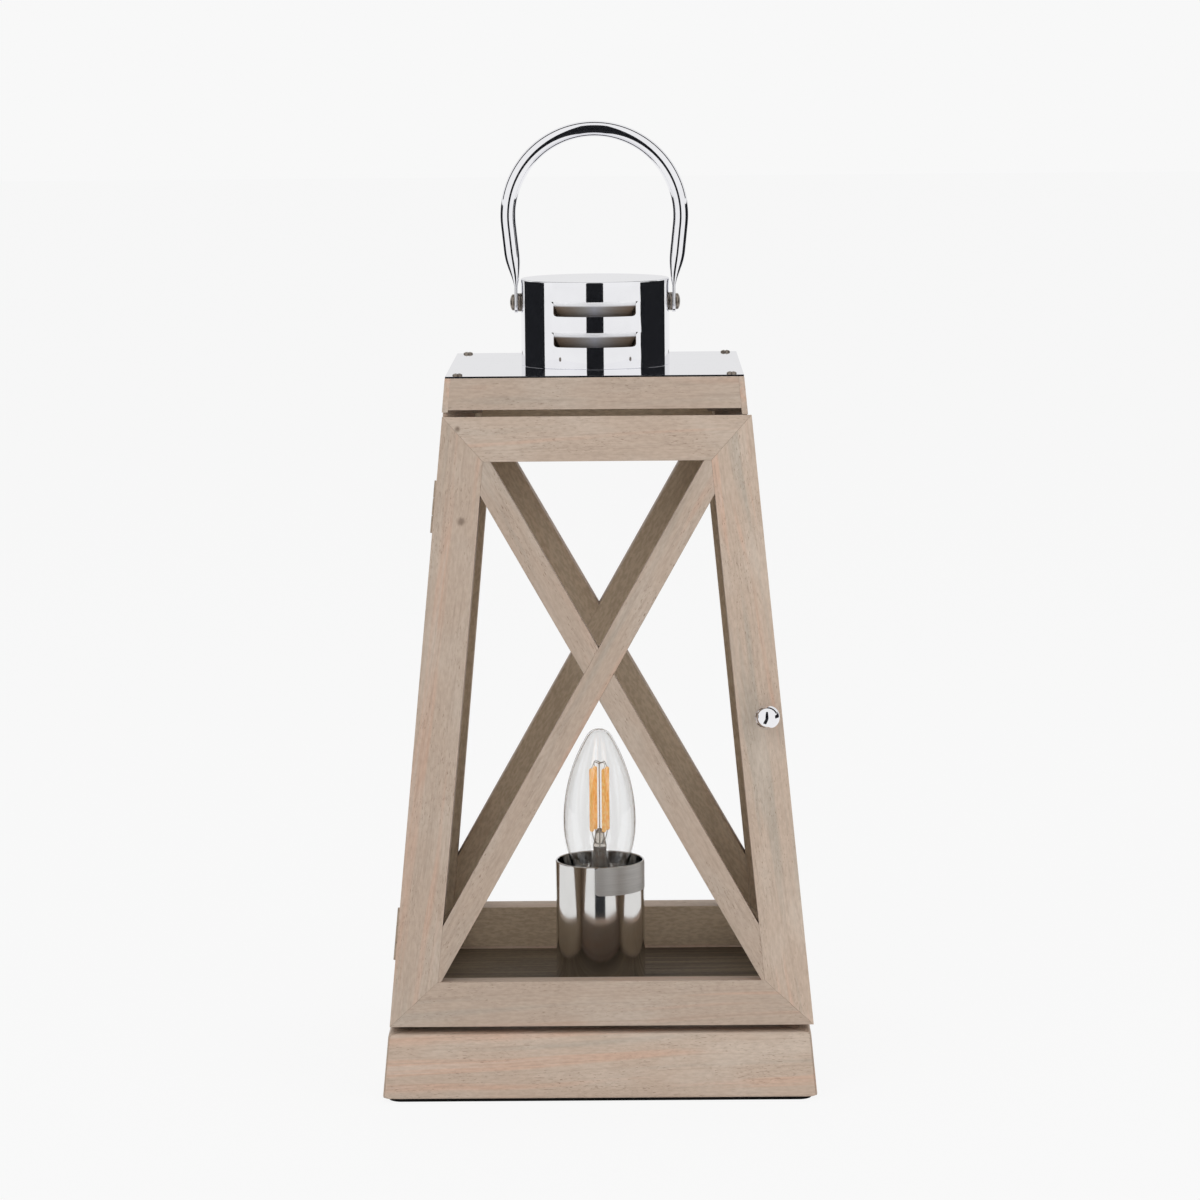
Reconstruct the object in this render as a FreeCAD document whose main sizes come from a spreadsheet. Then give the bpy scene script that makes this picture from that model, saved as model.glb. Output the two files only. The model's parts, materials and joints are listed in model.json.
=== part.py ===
import FreeCAD, Part
import os
import Sketcher

# Lantern table lamp: a square case of crossed frames that leans inward all the way up, on a boxed base,
# under a cap of four boards, a thin plate, a round chimney cap and a folding bail.
# Origin: middle of the felt's underside. +Z is up, -Y is the side with the door.

doc = FreeCAD.newDocument("lantern_lamp")

driving = {
    "base_width": 200.0,        # across the foot of the case, just above the felt
    "lean": 5.49,               # each side leans inward by this many degrees
    "felt_depth": 1.7,
    "felt_inset": 2.5,
    "felt_corner": 6.0,
    "base_height": 30.0,
    "board_depth": 15.0,        # base boards
    "bottom_depth": 6.0,        # bottom panel, flush with the lower edge of the base boards
    "floor_depth": 6.0,
    "floor_drop": 1.0,          # floor of the case below the top of the base
    "frame_height": 282.3,      # side and back frames, standing on the base
    "frame_depth": 15.0,
    "stile_width": 20.4,
    "rail_height": 20.5,
    "brace_width": 11.8,
    "door_depth": 15.0,
    "door_gap": 3.4,            # under the door
    "door_drop": 0.3,           # top of the door below the top of the frames
    "door_shift": 0.95,         # the door sits a little towards its free edge
    "door_extra": 0.65,         # and is a little wider than the case, on each side
    "door_clearance": 0.3,      # behind the closed door
    "cap_gap": 3.1,             # over the door
    "cap_rise": 17.2,           # side and back cap boards
    "cap_depth": 18.0,
    "rebate_depth": 15.0,       # front and back cap boards, let in between the side boards
    "lip_width": 2.7,           # what is left of a side board outside the rebate
    "lip_relief": 1.8,          # lip by the hinge, cut back for the swing of the door
    "panel_depth": 10.0,        # top panel under the plate
    "plate_depth": 0.8,
    "plate_margin": 0.1,
    "vent_radius": 21.0,        # hole for the hot air in panel, plate and chimney flange
    "plate_screw_inset": 5.5,   # from the edges of the plate
    "plate_screw_radius": 1.1,
    "plate_screw_length": 12.0,
    "plate_head_radius": 2.3,
    "plate_head_height": 1.1,
    "chimney_radius": 35.1,
    "chimney_height": 40.5,
    "sheet_depth": 0.8,
    "chimney_edge": 0.7,        # rounding of the chimney's top edge
    "louvre_width": 38.4,
    "louvre_height": 6.8,
    "louvre_low": 10.1,         # from the plate to the lower louvre
    "louvre_pitch": 14.25,
    "louvre_corner": 1.3,       # its lower corners are cut off by this much
    "louvre_ear": 0.9,          # and its upper ones run out to points where the sheet was slit
    "flap_angle": 69.0,         # each flap is bent in by this much from the wall
    "flange_screw_ring": 25.0,
    "flange_screw_radius": 1.5,
    "flange_screw_length": 19.0,
    "flange_head_radius": 2.9,
    "flange_head_height": 1.8,
    "pivot_height": 29.2,       # bail pivots above the plate
    "pivot_radius": 1.9,
    "pivot_head_radius": 3.8,
    "pivot_head_height": 2.0,
    "bail_tube": 7.3,
    "bail_radius": 40.65,
    "bail_centre": 69.7,        # middle of the bail's bend above the plate
    "bail_lean": 6.0,           # its legs come in by this many degrees
    "bail_flat": 1.8,           # thickness of its flattened ends
    "bail_flat_width": 10.0,
    "bail_flat_length": 10.5,   # from the pivot up to where the tube starts to round
    "bail_crush": 6.5,          # length over which the tube turns flat
    "spacer_gap": 1.2,          # between the chimney's wall and the bail
    "spacer_radius": 4.3,
    "nut_depth": 2.4,
    "nut_radius": 3.9,
    "fit": 0.05,                # radial clearance of shafts in their holes
    "overrun": 1.0,             # cutters run on past what they cut by this much
    "cup_radius": 21.4,
    "cup_height": 62.8,
    "cup_wall": 1.0,
    "nipple_radius": 5.0,
    "nipple_bore": 3.5,
    "nipple_below": 5.0,
    "nipple_above": 13.8,
    "hex_nut_depth": 3.0,
    "hex_nut_radius": 8.0,
    "holder_radius": 13.5,
    "holder_height": 47.0,
    "holder_floor": 24.1,
    "contact_radius": 3.0,
    "contact_depth": 1.5,
    "contact_clearance": 0.1,
    "bulb_length": 98.0,
    "bulb_radius": 17.5,
    "bulb_cap_radius": 7.0,
    "bulb_cap_length": 27.0,
    "bulb_cap_clearance": 0.3,
    "bulb_cap_flare": 2.0,      # height of the collar that widens to the glass
    "bulb_point_length": 3.0,   # tapered foot of the bulb's cap
    "bulb_point_radius": 2.33,
    "bulb_point_step": 0.5,
    "bulb_neck": 8.2,
    "bulb_glass": 0.8,
    "bulb_widest_rise": 25.4,   # from the neck to the widest place
    "bulb_shoulder_rise": 3.0,
    "bulb_low_bend": 55.0,
    "bulb_tip_bend": 6.86,
    "stem_radius": 4.2,
    "stem_height": 22.0,
    "stem_clearance": 0.2,
    "stem_tip_radius": 1.4,
    "filament_length": 31.0,
    "filament_radius": 0.75,
    "filament_ring": 4.3,
    "filament_drop": 1.0,       # feet of the filaments below the top of the stem
    "lead_radius": 0.35,        # wires from the stem to the filaments
    "lead_start": 1.8,
    "knob_setback": 7.3,        # from the door's free edge
    "knob_rise": 2.3,           # above the middle of the door
    "knob_radius": 5.75,
    "knob_neck_radius": 2.5,
    "knob_neck_length": 4.2,
    "knob_screw_radius": 1.5,
    "knob_screw_reach": 6.0,
    "knob_hole_spare": 0.5,     # the knob's hole is deeper than the screw reaches
    "knob_head_radius": 3.3,
    "knob_head_height": 2.0,
    "catch_setback": 63.7,      # below the top of the door
    "magnet_radius": 3.5,
    "magnet_depth": 5.0,
    "strike_radius": 4.0,
    "strike_depth": 1.0,
    "hinge_setback": 41.0,      # from each end of the door to the middle of a hinge
    "hinge_length": 24.0,
    "hinge_width": 11.0,
    "leaf_depth": 0.8,
    "barrel_radius": 1.2,
    "barrel_room": 1.5,
    "hinge_pin_radius": 0.6,
    "knuckle_length": 7.8,      # middle knuckle, on the door's leaf
    "knuckle_gap": 0.2,
    "tab_setback": 0.4,
    "tab_gap": 0.2,
    "gland_level": 16.0,
    "gland_bore": 3.2,
    "gland_radius": 5.0,
    "gland_flange": 6.5,
    "gland_flange_depth": 1.6,
    "gland_sink": 0.3,          # its seat is cut level into the leaning board, at least this deep
}
sheet = doc.addObject("Spreadsheet::Sheet", "sizes")
for row, (alias, value) in enumerate(driving.items(), 1):
    sheet.set(f"A{row}", alias)
    sheet.set(f"B{row}", str(value))
    sheet.setAlias(f"B{row}", alias)
doc.recompute()


def number(expression):
    result = sheet.evalExpression(expression)
    return float(getattr(result, "Value", result))


# Levels, as expressions on the sizes, measured up from the table.
felt_top = "sizes.felt_depth"
base_top = "(sizes.felt_depth + sizes.base_height)"
floor_top = f"({base_top} - sizes.floor_drop)"
floor_bottom = f"({floor_top} - sizes.floor_depth)"
frame_top = f"({base_top} + sizes.frame_height)"
door_bottom = f"({base_top} + sizes.door_gap)"
door_top = f"({frame_top} - sizes.door_drop)"
cap_front_bottom = f"({door_top} + sizes.cap_gap)"
cap_top = f"({frame_top} + sizes.cap_rise)"
panel_bottom = f"({cap_top} - sizes.panel_depth)"
plate_top = f"({cap_top} + sizes.plate_depth)"
pivot_level = f"({plate_top} + sizes.pivot_height)"
cup_floor = f"({floor_top} + sizes.cup_wall)"
holder_bottom = f"({cup_floor} + sizes.hex_nut_depth)"
contact_top = f"({holder_bottom} + sizes.holder_floor + sizes.contact_clearance)"
bulb_foot = f"({contact_top} + sizes.contact_clearance)"
bulb_neck_level = f"({bulb_foot} + sizes.bulb_cap_length)"
bulb_tip = f"({bulb_foot} + sizes.bulb_length)"

# Level distances behind the face of the door: its back, the side frames, and the hinge axis between them.
door_back = "(sizes.door_depth / cos(sizes.lean))"
side_front = f"({door_back} + sizes.door_clearance)"
swing_depth = f"({door_back} + sizes.door_clearance / 2)"


def half_at(level):
    """Half width of the case at a level."""
    return f"(sizes.base_width / 2 - ({level} - sizes.felt_depth) * tan(sizes.lean))"


def closed_sketch(body, name, role, corners):
    """Closed outline on one of the body's own planes, its corners given as pairs of expressions."""
    sketch = body.newObject("Sketcher::SketchObject", name)
    plane = [feature for feature in body.Origin.OriginFeatures if feature.Role == role][0]
    sketch.AttachmentSupport = [(plane, "")]
    sketch.MapMode = "FlatFace"
    points = [FreeCAD.Vector(number(across), number(up), 0) for across, up in corners]
    count = len(points)
    for i in range(count):
        sketch.addGeometry(Part.LineSegment(points[i], points[(i + 1) % count]), False)
    for i in range(count):
        sketch.addConstraint(Sketcher.Constraint("Coincident", i, 2, (i + 1) % count, 1))
    for i, corner in enumerate(corners):
        for kind, expression in zip(("DistanceX", "DistanceY"), corner):
            index = sketch.addConstraint(Sketcher.Constraint(kind, i, 1, number(expression)))
            sketch.setExpression(f"Constraints[{index}]", expression)
    return sketch


def padded(label, role, corners, depth, direction):
    """Outline on one of the body's own planes, carried on along a direction."""
    body = doc.addObject("PartDesign::Body", label)
    pad = body.newObject("PartDesign::Pad", label + "_pad")
    pad.Profile = closed_sketch(body, label + "_outline", role, corners)
    pad.UseCustomVector = True
    pad.AlongSketchNormal = False
    pad.setExpression("Direction", direction)
    pad.setExpression("Length", depth)
    body.Tip = pad
    return body


def round_edges(body, label, radius, chosen):
    """Rounds the chosen edges of what the body holds so far."""
    doc.recompute()
    sharp = body.Tip
    names = [f"Edge{index}" for index, edge in enumerate(body.Shape.Edges, 1) if chosen(edge)]
    rounding = body.newObject("PartDesign::Fillet", label)
    rounding.Base = (sharp, names)
    rounding.setExpression("Radius", radius)
    body.Tip = rounding
    return body


def upright_edge(edge):
    return abs(edge.tangentAt(edge.FirstParameter).z) > 0.5


def panel_piece(label, turn, corners, depth, inset="0", square=False):
    """Piece in a leaning side. Its corners are (across, level) pairs on the outer face.

    The thickness runs level into the case, or square to the leaning face, and starts at the inset.
    The side is the front one turned about Z: 90 is the right side, 180 the back, 270 the left.
    """
    on_slope = [(across, f"({level} - {felt_top}) / cos(sizes.lean)") for across, level in corners]
    in_part, up_part = ("1", "0") if square else ("cos(sizes.lean)", "sin(sizes.lean)")
    body = padded(label, "XZ_Plane", on_slope, depth, f"vector(0; {in_part}; {up_part})")
    start = f"rotationx(-sizes.lean) * vector(0; ({inset}) * {in_part}; ({inset}) * {up_part})"
    foot = f"vector(0; -sizes.base_width / 2; {felt_top})"
    body.setExpression(
        "Placement",
        f"placement(rotationz({turn}) * ({foot} + {start}); rotationz({turn}) * rotationx(-sizes.lean))",
    )
    return body


def board(label, turn, bottom, top, corners):
    """Loft between two level outlines. Corners are (across, inward) pairs for a half width."""
    body = doc.addObject("PartDesign::Body", label)
    outlines = []
    for level in (bottom, top):
        half = half_at(level)
        plan = [(across, f"{inward} - {half}") for across, inward in corners(half)]
        outline = closed_sketch(body, f"{label}_plan_{len(outlines)}", "XY_Plane", plan)
        outline.setExpression("AttachmentOffset.Base.z", level)
        outlines.append(outline)
    loft = body.newObject("PartDesign::AdditiveLoft", label + "_loft")
    loft.Profile = outlines[0]
    loft.Sections = [(outlines[1], [""])]
    loft.Ruled = True
    body.Tip = loft
    body.setExpression("Placement", f"placement(vector(0; 0; 0); rotationz({turn}))")
    return body


def turned(label, corners, placement=None, angle=360):
    """Revolved piece, its section given as (radius, level) pairs."""
    body = doc.addObject("PartDesign::Body", label)
    revolution = body.newObject("PartDesign::Revolution", label + "_turned")
    sketch = closed_sketch(body, label + "_section", "XZ_Plane", corners)
    revolution.Profile = sketch
    revolution.ReferenceAxis = (sketch, ["V_Axis"])
    revolution.Angle = angle
    body.Tip = revolution
    if placement:
        body.setExpression("Placement", placement)
    return body


def place(solid, x, y, z, turn):
    solid.setExpression("Placement", f"placement(vector({x}; {y}; {z}); {turn})")
    return solid


upright = "rotationz(0)"


def cylinder(label, radius, height, x="0", y="0", z="0", turn=upright):
    solid = doc.addObject("Part::Cylinder", label)
    solid.setExpression("Radius", radius)
    solid.setExpression("Height", height)
    return place(solid, x, y, z, turn)


def box(label, length, width, height, x, y, z, turn=upright):
    solid = doc.addObject("Part::Box", label)
    solid.setExpression("Length", length)
    solid.setExpression("Width", width)
    solid.setExpression("Height", height)
    return place(solid, x, y, z, turn)


def dome(label, radius, height, x, y, z, turn=upright):
    """Low round screw head, a slice of a ball that stands on z."""
    ball = f"(({radius})^2 + ({height})^2) / (2 * {height})"
    solid = doc.addObject("Part::Sphere", label)
    solid.setExpression("Radius", ball)
    solid.setExpression("Angle1", f"asin(1 - {height} / ({ball}))")
    sunk = f"{turn} * vector(0; 0; {height} - {ball})"
    solid.setExpression("Placement", f"placement(vector({x}; {y}; {z}) + {sunk}; {turn})")
    return solid


def cut(label, base, *tools):
    for index, tool in enumerate(tools, 1):
        last = index == len(tools)
        result = doc.addObject("Part::Cut", label if last else f"{label}_cut_{index}")
        result.Base = base
        result.Tool = tool
        base = result
    return base


def common(label, base, tool):
    result = doc.addObject("Part::Common", label)
    result.Base = base
    result.Tool = tool
    return result


def fuse(label, *shapes):
    result = doc.addObject("Part::MultiFuse", label)
    result.Shapes = list(shapes)
    return result


def group(label, *shapes):
    """Like pieces that share one node, each still a solid of its own."""
    result = doc.addObject("Part::Compound", label)
    result.Links = list(shapes)
    return result


nodes = []


def keep(*pieces):
    nodes.extend(pieces)


# ---- Base ------------------------------------------------------------------------------------------

def mitred(depth):
    """Plan of one of four boards that meet at 45 degrees."""
    return lambda half: [
        (f"-{half}", "0"),
        (half, "0"),
        (f"{half} - {depth}", depth),
        (f"{depth} - {half}", depth),
    ]


felt_half = "(sizes.base_width / 2 - sizes.felt_inset)"
felt_plan = [
    (f"-{felt_half}", f"-{felt_half}"),
    (felt_half, f"-{felt_half}"),
    (felt_half, felt_half),
    (f"-{felt_half}", felt_half),
]
felt_pad = padded("felt_pad", "XY_Plane", felt_plan, "sizes.felt_depth", "vector(0; 0; 1)")
keep(round_edges(felt_pad, "felt_corners", "sizes.felt_corner", upright_edge))

sides = {"front": 0, "right": 90, "back": 180, "left": 270}
base_boards = {}
for side, turn in sides.items():
    label = f"base_{side}_board"
    blank = label + "_blank" if side == "back" else label
    base_boards[side] = board(blank, turn, felt_top, base_top, mitred("sizes.board_depth"))

gland_seat = f"({half_at('(sizes.gland_level + sizes.gland_flange)')} - sizes.gland_sink)"
inward_y = "rotationx(90)"
gland_room = cylinder(
    "gland_room", "sizes.gland_flange", "sizes.board_depth", z="sizes.gland_level",
    y=f"{gland_seat} + sizes.board_depth", turn=inward_y,
)
gland_hole = cylinder(
    "gland_hole", "sizes.gland_radius", "3 * sizes.board_depth", z="sizes.gland_level",
    y=f"{gland_seat} + sizes.board_depth", turn=inward_y,
)
base_boards["back"] = cut("base_back_board", base_boards["back"], gland_room, gland_hole)
keep(*base_boards.values())

inner_square = lambda gap: lambda half: [
    (f"{gap} - {half}", gap),
    (f"{half} - {gap}", gap),
    (f"{half} - {gap}", f"2 * {half} - {gap}"),
    (f"{gap} - {half}", f"2 * {half} - {gap}"),
]
inside_base = inner_square("sizes.board_depth")
keep(board("bottom_panel", 0, felt_top, f"({felt_top} + sizes.bottom_depth)", inside_base))
floor_blank = board("floor_blank", 0, floor_bottom, floor_top, inside_base)
nipple_hole = "sizes.nipple_radius + sizes.fit"
floor_hole_start = f"{floor_bottom} - sizes.overrun"
floor_hole = cylinder("floor_hole", nipple_hole, "sizes.floor_depth + 2 * sizes.overrun", z=floor_hole_start)
keep(cut("floor_panel", floor_blank, floor_hole))

gland_flange_end = "sizes.gland_flange_depth"
keep(turned("cable_gland", [
    ("sizes.gland_bore", "0"),
    ("sizes.gland_flange", "0"),
    ("sizes.gland_flange", gland_flange_end),
    ("sizes.gland_radius", gland_flange_end),
    ("sizes.gland_radius", f"{gland_flange_end} + sizes.board_depth"),
    ("sizes.gland_bore", f"{gland_flange_end} + sizes.board_depth"),
], f"placement(vector(0; {gland_seat} + {gland_flange_end}; sizes.gland_level); {inward_y})"))


# ---- Crossed frames --------------------------------------------------------------------------------

class Frame:
    """One leaning frame: two stiles and two rails with mitred corners, and two braces halved together.

    The braces' middle lines run to the middle of the corner mitres, so their slope follows the frame.
    Its own set of values holds what is worked out from the sizes.
    """

    def __init__(self, name, turn, bottom, top, narrower, shift, depth, square=False):
        self.name = name
        self.turn = turn
        self.depth = depth
        self.square = square
        self.values = doc.addObject("App::VarSet", name + "_values")
        self.bottom = self.value("bottom", bottom)
        self.top = self.value("top", top)
        self.sill = self.value("sill", f"{self.bottom} + sizes.rail_height")
        self.head = self.value("head", f"{self.top} - sizes.rail_height")
        self.narrower = self.value("narrower", narrower)
        self.shift = self.value("shift", shift)
        low = f"({self.bottom} + sizes.rail_height / 2)"
        high = f"({self.top} - sizes.rail_height / 2)"
        spread = f"{self.half(low)} + {self.half(high)} - sizes.stile_width"
        self.run = self.value("run", f"({spread}) / ({high} - {low})")
        cross = f"{low} + ({self.half(low)} - sizes.stile_width / 2) / {self.run}"
        self.cross = self.value("cross", cross)
        slope = f"({self.run} * cos(sizes.lean))"
        self.reach = self.value("reach", f"sizes.brace_width / 2 * sqrt(1 + {slope}^2)")

    def value(self, name, expression):
        self.values.addProperty("App::PropertyFloat", name, "Worked out")
        self.values.setExpression(name, expression)
        doc.recompute()
        return f"{self.values.Name}.{name}"

    def half(self, level):
        return f"({half_at(level)} - {self.narrower})"

    def outer(self, side, level):
        return (f"{self.shift} + {side} * {self.half(level)}", level)

    def inner(self, side, level):
        return (f"{self.shift} + {side} * ({self.half(level)} - sizes.stile_width)", level)

    def piece(self, label, corners, depth=None, inset="0"):
        label = f"{self.name}_{label}"
        return panel_piece(label, self.turn, corners, depth or self.depth, inset, self.square)

    def stile(self, label, side):
        return self.piece(label, [
            self.outer(side, self.bottom),
            self.inner(side, self.sill),
            self.inner(side, self.head),
            self.outer(side, self.top),
        ])

    def rail(self, label, edge, opening):
        return self.piece(label, [
            self.outer(-1, edge),
            self.outer(1, edge),
            self.inner(1, opening),
            self.inner(-1, opening),
        ])

    def brace_edge(self, way, level, side):
        """Point on one edge of a brace that rises towards the side way."""
        from_cross = f"{self.run} * ({level} - {self.cross}) + {side} * {self.reach}"
        return (f"{self.shift} + {way} * ({from_cross})", level)

    def brace_strip(self, way):
        return [
            self.brace_edge(way, self.bottom, -1),
            self.brace_edge(way, self.bottom, 1),
            self.brace_edge(way, self.top, 1),
            self.brace_edge(way, self.top, -1),
        ]

    def braces(self):
        """Strips cut to the opening. The rising one keeps its front half where they cross."""
        half_depth = f"{self.depth} / 2"
        corners = [self.inner(-1, self.sill), self.inner(1, self.sill)]
        corners += [self.inner(1, self.head), self.inner(-1, self.head)]
        opening = self.piece("opening", corners)
        rising = self.brace_strip(1)
        falling = self.brace_strip(-1)
        rising_strip = self.piece("rising_strip", rising)
        falling_strip = self.piece("falling_strip", falling)
        rising_blank = common(f"{self.name}_rising_blank", rising_strip, opening)
        falling_blank = common(f"{self.name}_falling_blank", falling_strip, opening)
        front_half = self.piece("rising_front_half", rising, half_depth)
        back_half = self.piece("falling_back_half", falling, half_depth, half_depth)
        return (
            cut(f"{self.name}_rising_brace", rising_blank, back_half),
            cut(f"{self.name}_falling_brace", falling_blank, front_half),
        )


def case_frame(name, turn, minus_inset, plus_inset):
    """Frame that stands on the base. The insets set its two edges in from the corners of the case."""
    return Frame(
        name, turn, base_top, frame_top, f"({minus_inset} + {plus_inset}) / 2",
        f"({minus_inset} - {plus_inset}) / 2", "sizes.frame_depth",
    )


back = case_frame("back", 180, "0", "0")
keep(back.stile("right_stile", -1), back.stile("left_stile", 1))
left = case_frame("left", 270, "sizes.frame_depth", side_front)
right = case_frame("right", 90, side_front, "sizes.frame_depth")
keep(left.stile("back_stile", -1), right.stile("back_stile", 1))
left_front_blank = left.stile("front_stile_blank", 1)
right_front_blank = right.stile("front_stile_blank", -1)
for frame in (back, left, right):
    keep(frame.rail("bottom_rail", frame.bottom, frame.sill))
    keep(frame.rail("top_rail", frame.top, frame.head))
    keep(*frame.braces())

door = Frame(
    "door", 0, door_bottom, door_top, "-sizes.door_extra", "sizes.door_shift", "sizes.door_depth",
    square=True,
)
door_hinge_blank = door.stile("hinge_stile_blank", -1)
door_knob_blank = door.stile("knob_stile_blank", 1)
keep(door.rail("bottom_rail", door.bottom, door.sill), door.rail("top_rail", door.top, door.head))
keep(*door.braces())


# ---- Hinges, on a slanting axis along the left edge of the door --------------------------------------

# Square to the leaning face, inward is also down.
axis_drop = f"({swing_depth} * cos(sizes.lean) * sin(sizes.lean))"


def axis_rod(label, radius, low, high):
    """Cylinder about the hinge axis, between two distances above and below a hinge's middle level."""
    slant = "sqrt(1 + 2 * tan(sizes.lean)^2)"
    solid = doc.addObject("Part::Cylinder", label)
    solid.setExpression("Radius", radius)
    solid.setExpression("Height", f"({high[1]} - ({low[1]})) * {slant}")
    level = f"({low[0]} + {low[1]} - {axis_drop})"
    turn = "rotation(vector(-1; 1; 0); atan(sqrt(2) * tan(sizes.lean)))"
    return place(solid, f"-{half_at(level)}", f"{swing_depth} - {half_at(level)}", level, turn)


def leaf_corner(middle, across, up):
    level = f"({middle} + {up})"
    return (f"{across} - {half_at(f'({level} - {axis_drop})')}", level)


half_length = "sizes.hinge_length / 2"
half_knuckle = "sizes.knuckle_length / 2"
tab_end = "sizes.barrel_room + sizes.tab_gap"
door_leaves = []
frame_leaves = []
hinge_pins = []
door_pockets = []
frame_pockets = []
frame_leaf_inset = "sizes.door_depth + sizes.door_clearance * cos(sizes.lean)"
hinge_middles = {
    "lower": f"({door_bottom} + sizes.hinge_setback)",
    "upper": f"({door_top} - sizes.hinge_setback)",
}
for name, middle in hinge_middles.items():
    plate = [
        leaf_corner(middle, tab_end, f"-{half_length}"),
        leaf_corner(middle, "sizes.hinge_width", f"-{half_length}"),
        leaf_corner(middle, "sizes.hinge_width", half_length),
        leaf_corner(middle, tab_end, half_length),
    ]
    door_tab = f"({half_knuckle} - sizes.tab_setback)"
    frame_tab = f"({half_knuckle} + sizes.knuckle_gap + sizes.tab_setback)"
    door_leaf_corners = plate + [
        leaf_corner(middle, tab_end, door_tab),
        leaf_corner(middle, "0", door_tab),
        leaf_corner(middle, "0", f"-{door_tab}"),
        leaf_corner(middle, tab_end, f"-{door_tab}"),
    ]
    frame_leaf_corners = [
        leaf_corner(middle, "0", f"-{half_length}"),
        plate[1],
        plate[2],
        leaf_corner(middle, "0", half_length),
        leaf_corner(middle, "0", frame_tab),
        leaf_corner(middle, tab_end, frame_tab),
        leaf_corner(middle, tab_end, f"-{frame_tab}"),
        leaf_corner(middle, "0", f"-{frame_tab}"),
    ]
    pocket = [frame_leaf_corners[0], plate[1], plate[2], frame_leaf_corners[3]]

    def in_stile(label, corners, depth, inset):
        return panel_piece(f"{name}_{label}", 0, corners, depth, inset, square=True)

    door_inset = "sizes.door_depth - sizes.leaf_depth"
    back_start = f"{frame_leaf_inset} - sizes.leaf_depth"
    door_leaf = in_stile("door_leaf", door_leaf_corners, "sizes.leaf_depth", door_inset)
    frame_leaf = in_stile("frame_leaf", frame_leaf_corners, "sizes.leaf_depth", frame_leaf_inset)
    door_pockets.append(in_stile("door_pocket", pocket, "2 * sizes.leaf_depth", door_inset))
    frame_pockets.append(in_stile("frame_pocket", pocket, "2 * sizes.leaf_depth", back_start))
    outer_low = (middle, f"(-{half_length})")
    outer_high = (middle, half_length)
    middle_low = (middle, f"(-{half_knuckle})")
    middle_high = (middle, half_knuckle)
    gap_low = (middle, f"(-{half_knuckle} - sizes.knuckle_gap)")
    gap_high = (middle, f"({half_knuckle} + sizes.knuckle_gap)")
    bore = axis_rod(f"{name}_bore", "sizes.hinge_pin_radius + sizes.fit", outer_low, outer_high)
    door_knuckle = axis_rod(f"{name}_door_knuckle", "sizes.barrel_radius", middle_low, middle_high)
    low_knuckle = axis_rod(f"{name}_low_knuckle", "sizes.barrel_radius", outer_low, gap_low)
    high_knuckle = axis_rod(f"{name}_high_knuckle", "sizes.barrel_radius", gap_high, outer_high)
    door_leaves.append(cut(f"{name}_door_hinge", fuse(f"{name}_door_metal", door_leaf, door_knuckle), bore))
    frame_metal = fuse(f"{name}_frame_metal", frame_leaf, low_knuckle, high_knuckle)
    frame_leaves.append(cut(f"{name}_frame_hinge", frame_metal, bore))
    hinge_pins.append(axis_rod(f"{name}_hinge_pin", "sizes.hinge_pin_radius", outer_low, outer_high))
    room = axis_rod(
        f"{name}_barrel_room", "sizes.barrel_room",
        (middle, f"(-{half_length} - sizes.knuckle_gap)"), (middle, f"({half_length} + sizes.knuckle_gap)"),
    )
    door_pockets.append(room)
    frame_pockets.append(room)
keep(group("hinge_door_leaves", *door_leaves))
keep(group("hinge_frame_leaves", *frame_leaves))
keep(group("hinge_pins", *hinge_pins))
keep(cut("left_front_stile", left_front_blank, *frame_pockets))
keep(cut("door_hinge_stile", door_hinge_blank, *door_pockets))


# ---- Knob and magnetic catch -----------------------------------------------------------------------

def on_door(label, maker, across, level, depth, *sizes_of, outward=True):
    """Round piece square to the door's face, starting at a depth behind it."""
    solid = maker(label, *sizes_of)
    spot = f"rotationx(-sizes.lean) * vector({across}; {depth}; ({level} - {felt_top}) / cos(sizes.lean))"
    turn = "rotationx(90 - sizes.lean)" if outward else "rotationx(-90 - sizes.lean)"
    foot = f"vector(0; -sizes.base_width / 2; {felt_top})"
    solid.setExpression("Placement", f"placement({foot} + {spot}; {turn})")
    return solid


knob_level = f"(({door_bottom} + {door_top}) / 2 + sizes.knob_rise)"
knob_place = (f"({door.outer(1, knob_level)[0]} - sizes.knob_setback)", knob_level)
knob_middle = "(sizes.knob_neck_length + sizes.knob_radius)"
ball = doc.addObject("Part::Sphere", "knob_ball")
ball.setExpression("Radius", "sizes.knob_radius")
knob_ball = on_door("knob_ball", lambda label: ball, *knob_place, f"-{knob_middle}")
knob_neck = on_door("knob_neck", cylinder, *knob_place, "0", "sizes.knob_neck_radius", knob_middle)
knob_hole = on_door(
    "knob_hole", cylinder, *knob_place, "sizes.overrun", "sizes.knob_screw_radius + sizes.fit",
    "sizes.overrun + sizes.knob_screw_reach + sizes.knob_hole_spare",
)
keep(cut("door_knob", fuse("knob_turned", knob_ball, knob_neck), knob_hole))
shank_start = "sizes.door_depth - sizes.knob_head_height / 2"
knob_shank = on_door(
    "knob_shank", cylinder, *knob_place, shank_start, "sizes.knob_screw_radius",
    f"{shank_start} + sizes.knob_screw_reach",
)
knob_head = on_door(
    "knob_head", cylinder, *knob_place, "sizes.door_depth", "sizes.knob_head_radius",
    "sizes.knob_head_height",
)
keep(fuse("knob_screw", knob_shank, knob_head))
shank_room = on_door(
    "shank_room", cylinder, *knob_place, "sizes.door_depth + sizes.overrun",
    "sizes.knob_screw_radius + sizes.fit", "sizes.door_depth + 2 * sizes.overrun",
)
head_room = on_door(
    "head_room", cylinder, *knob_place, "sizes.door_depth + sizes.knob_head_height",
    "sizes.knob_head_radius + sizes.fit", "2 * sizes.knob_head_height",
)

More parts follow.
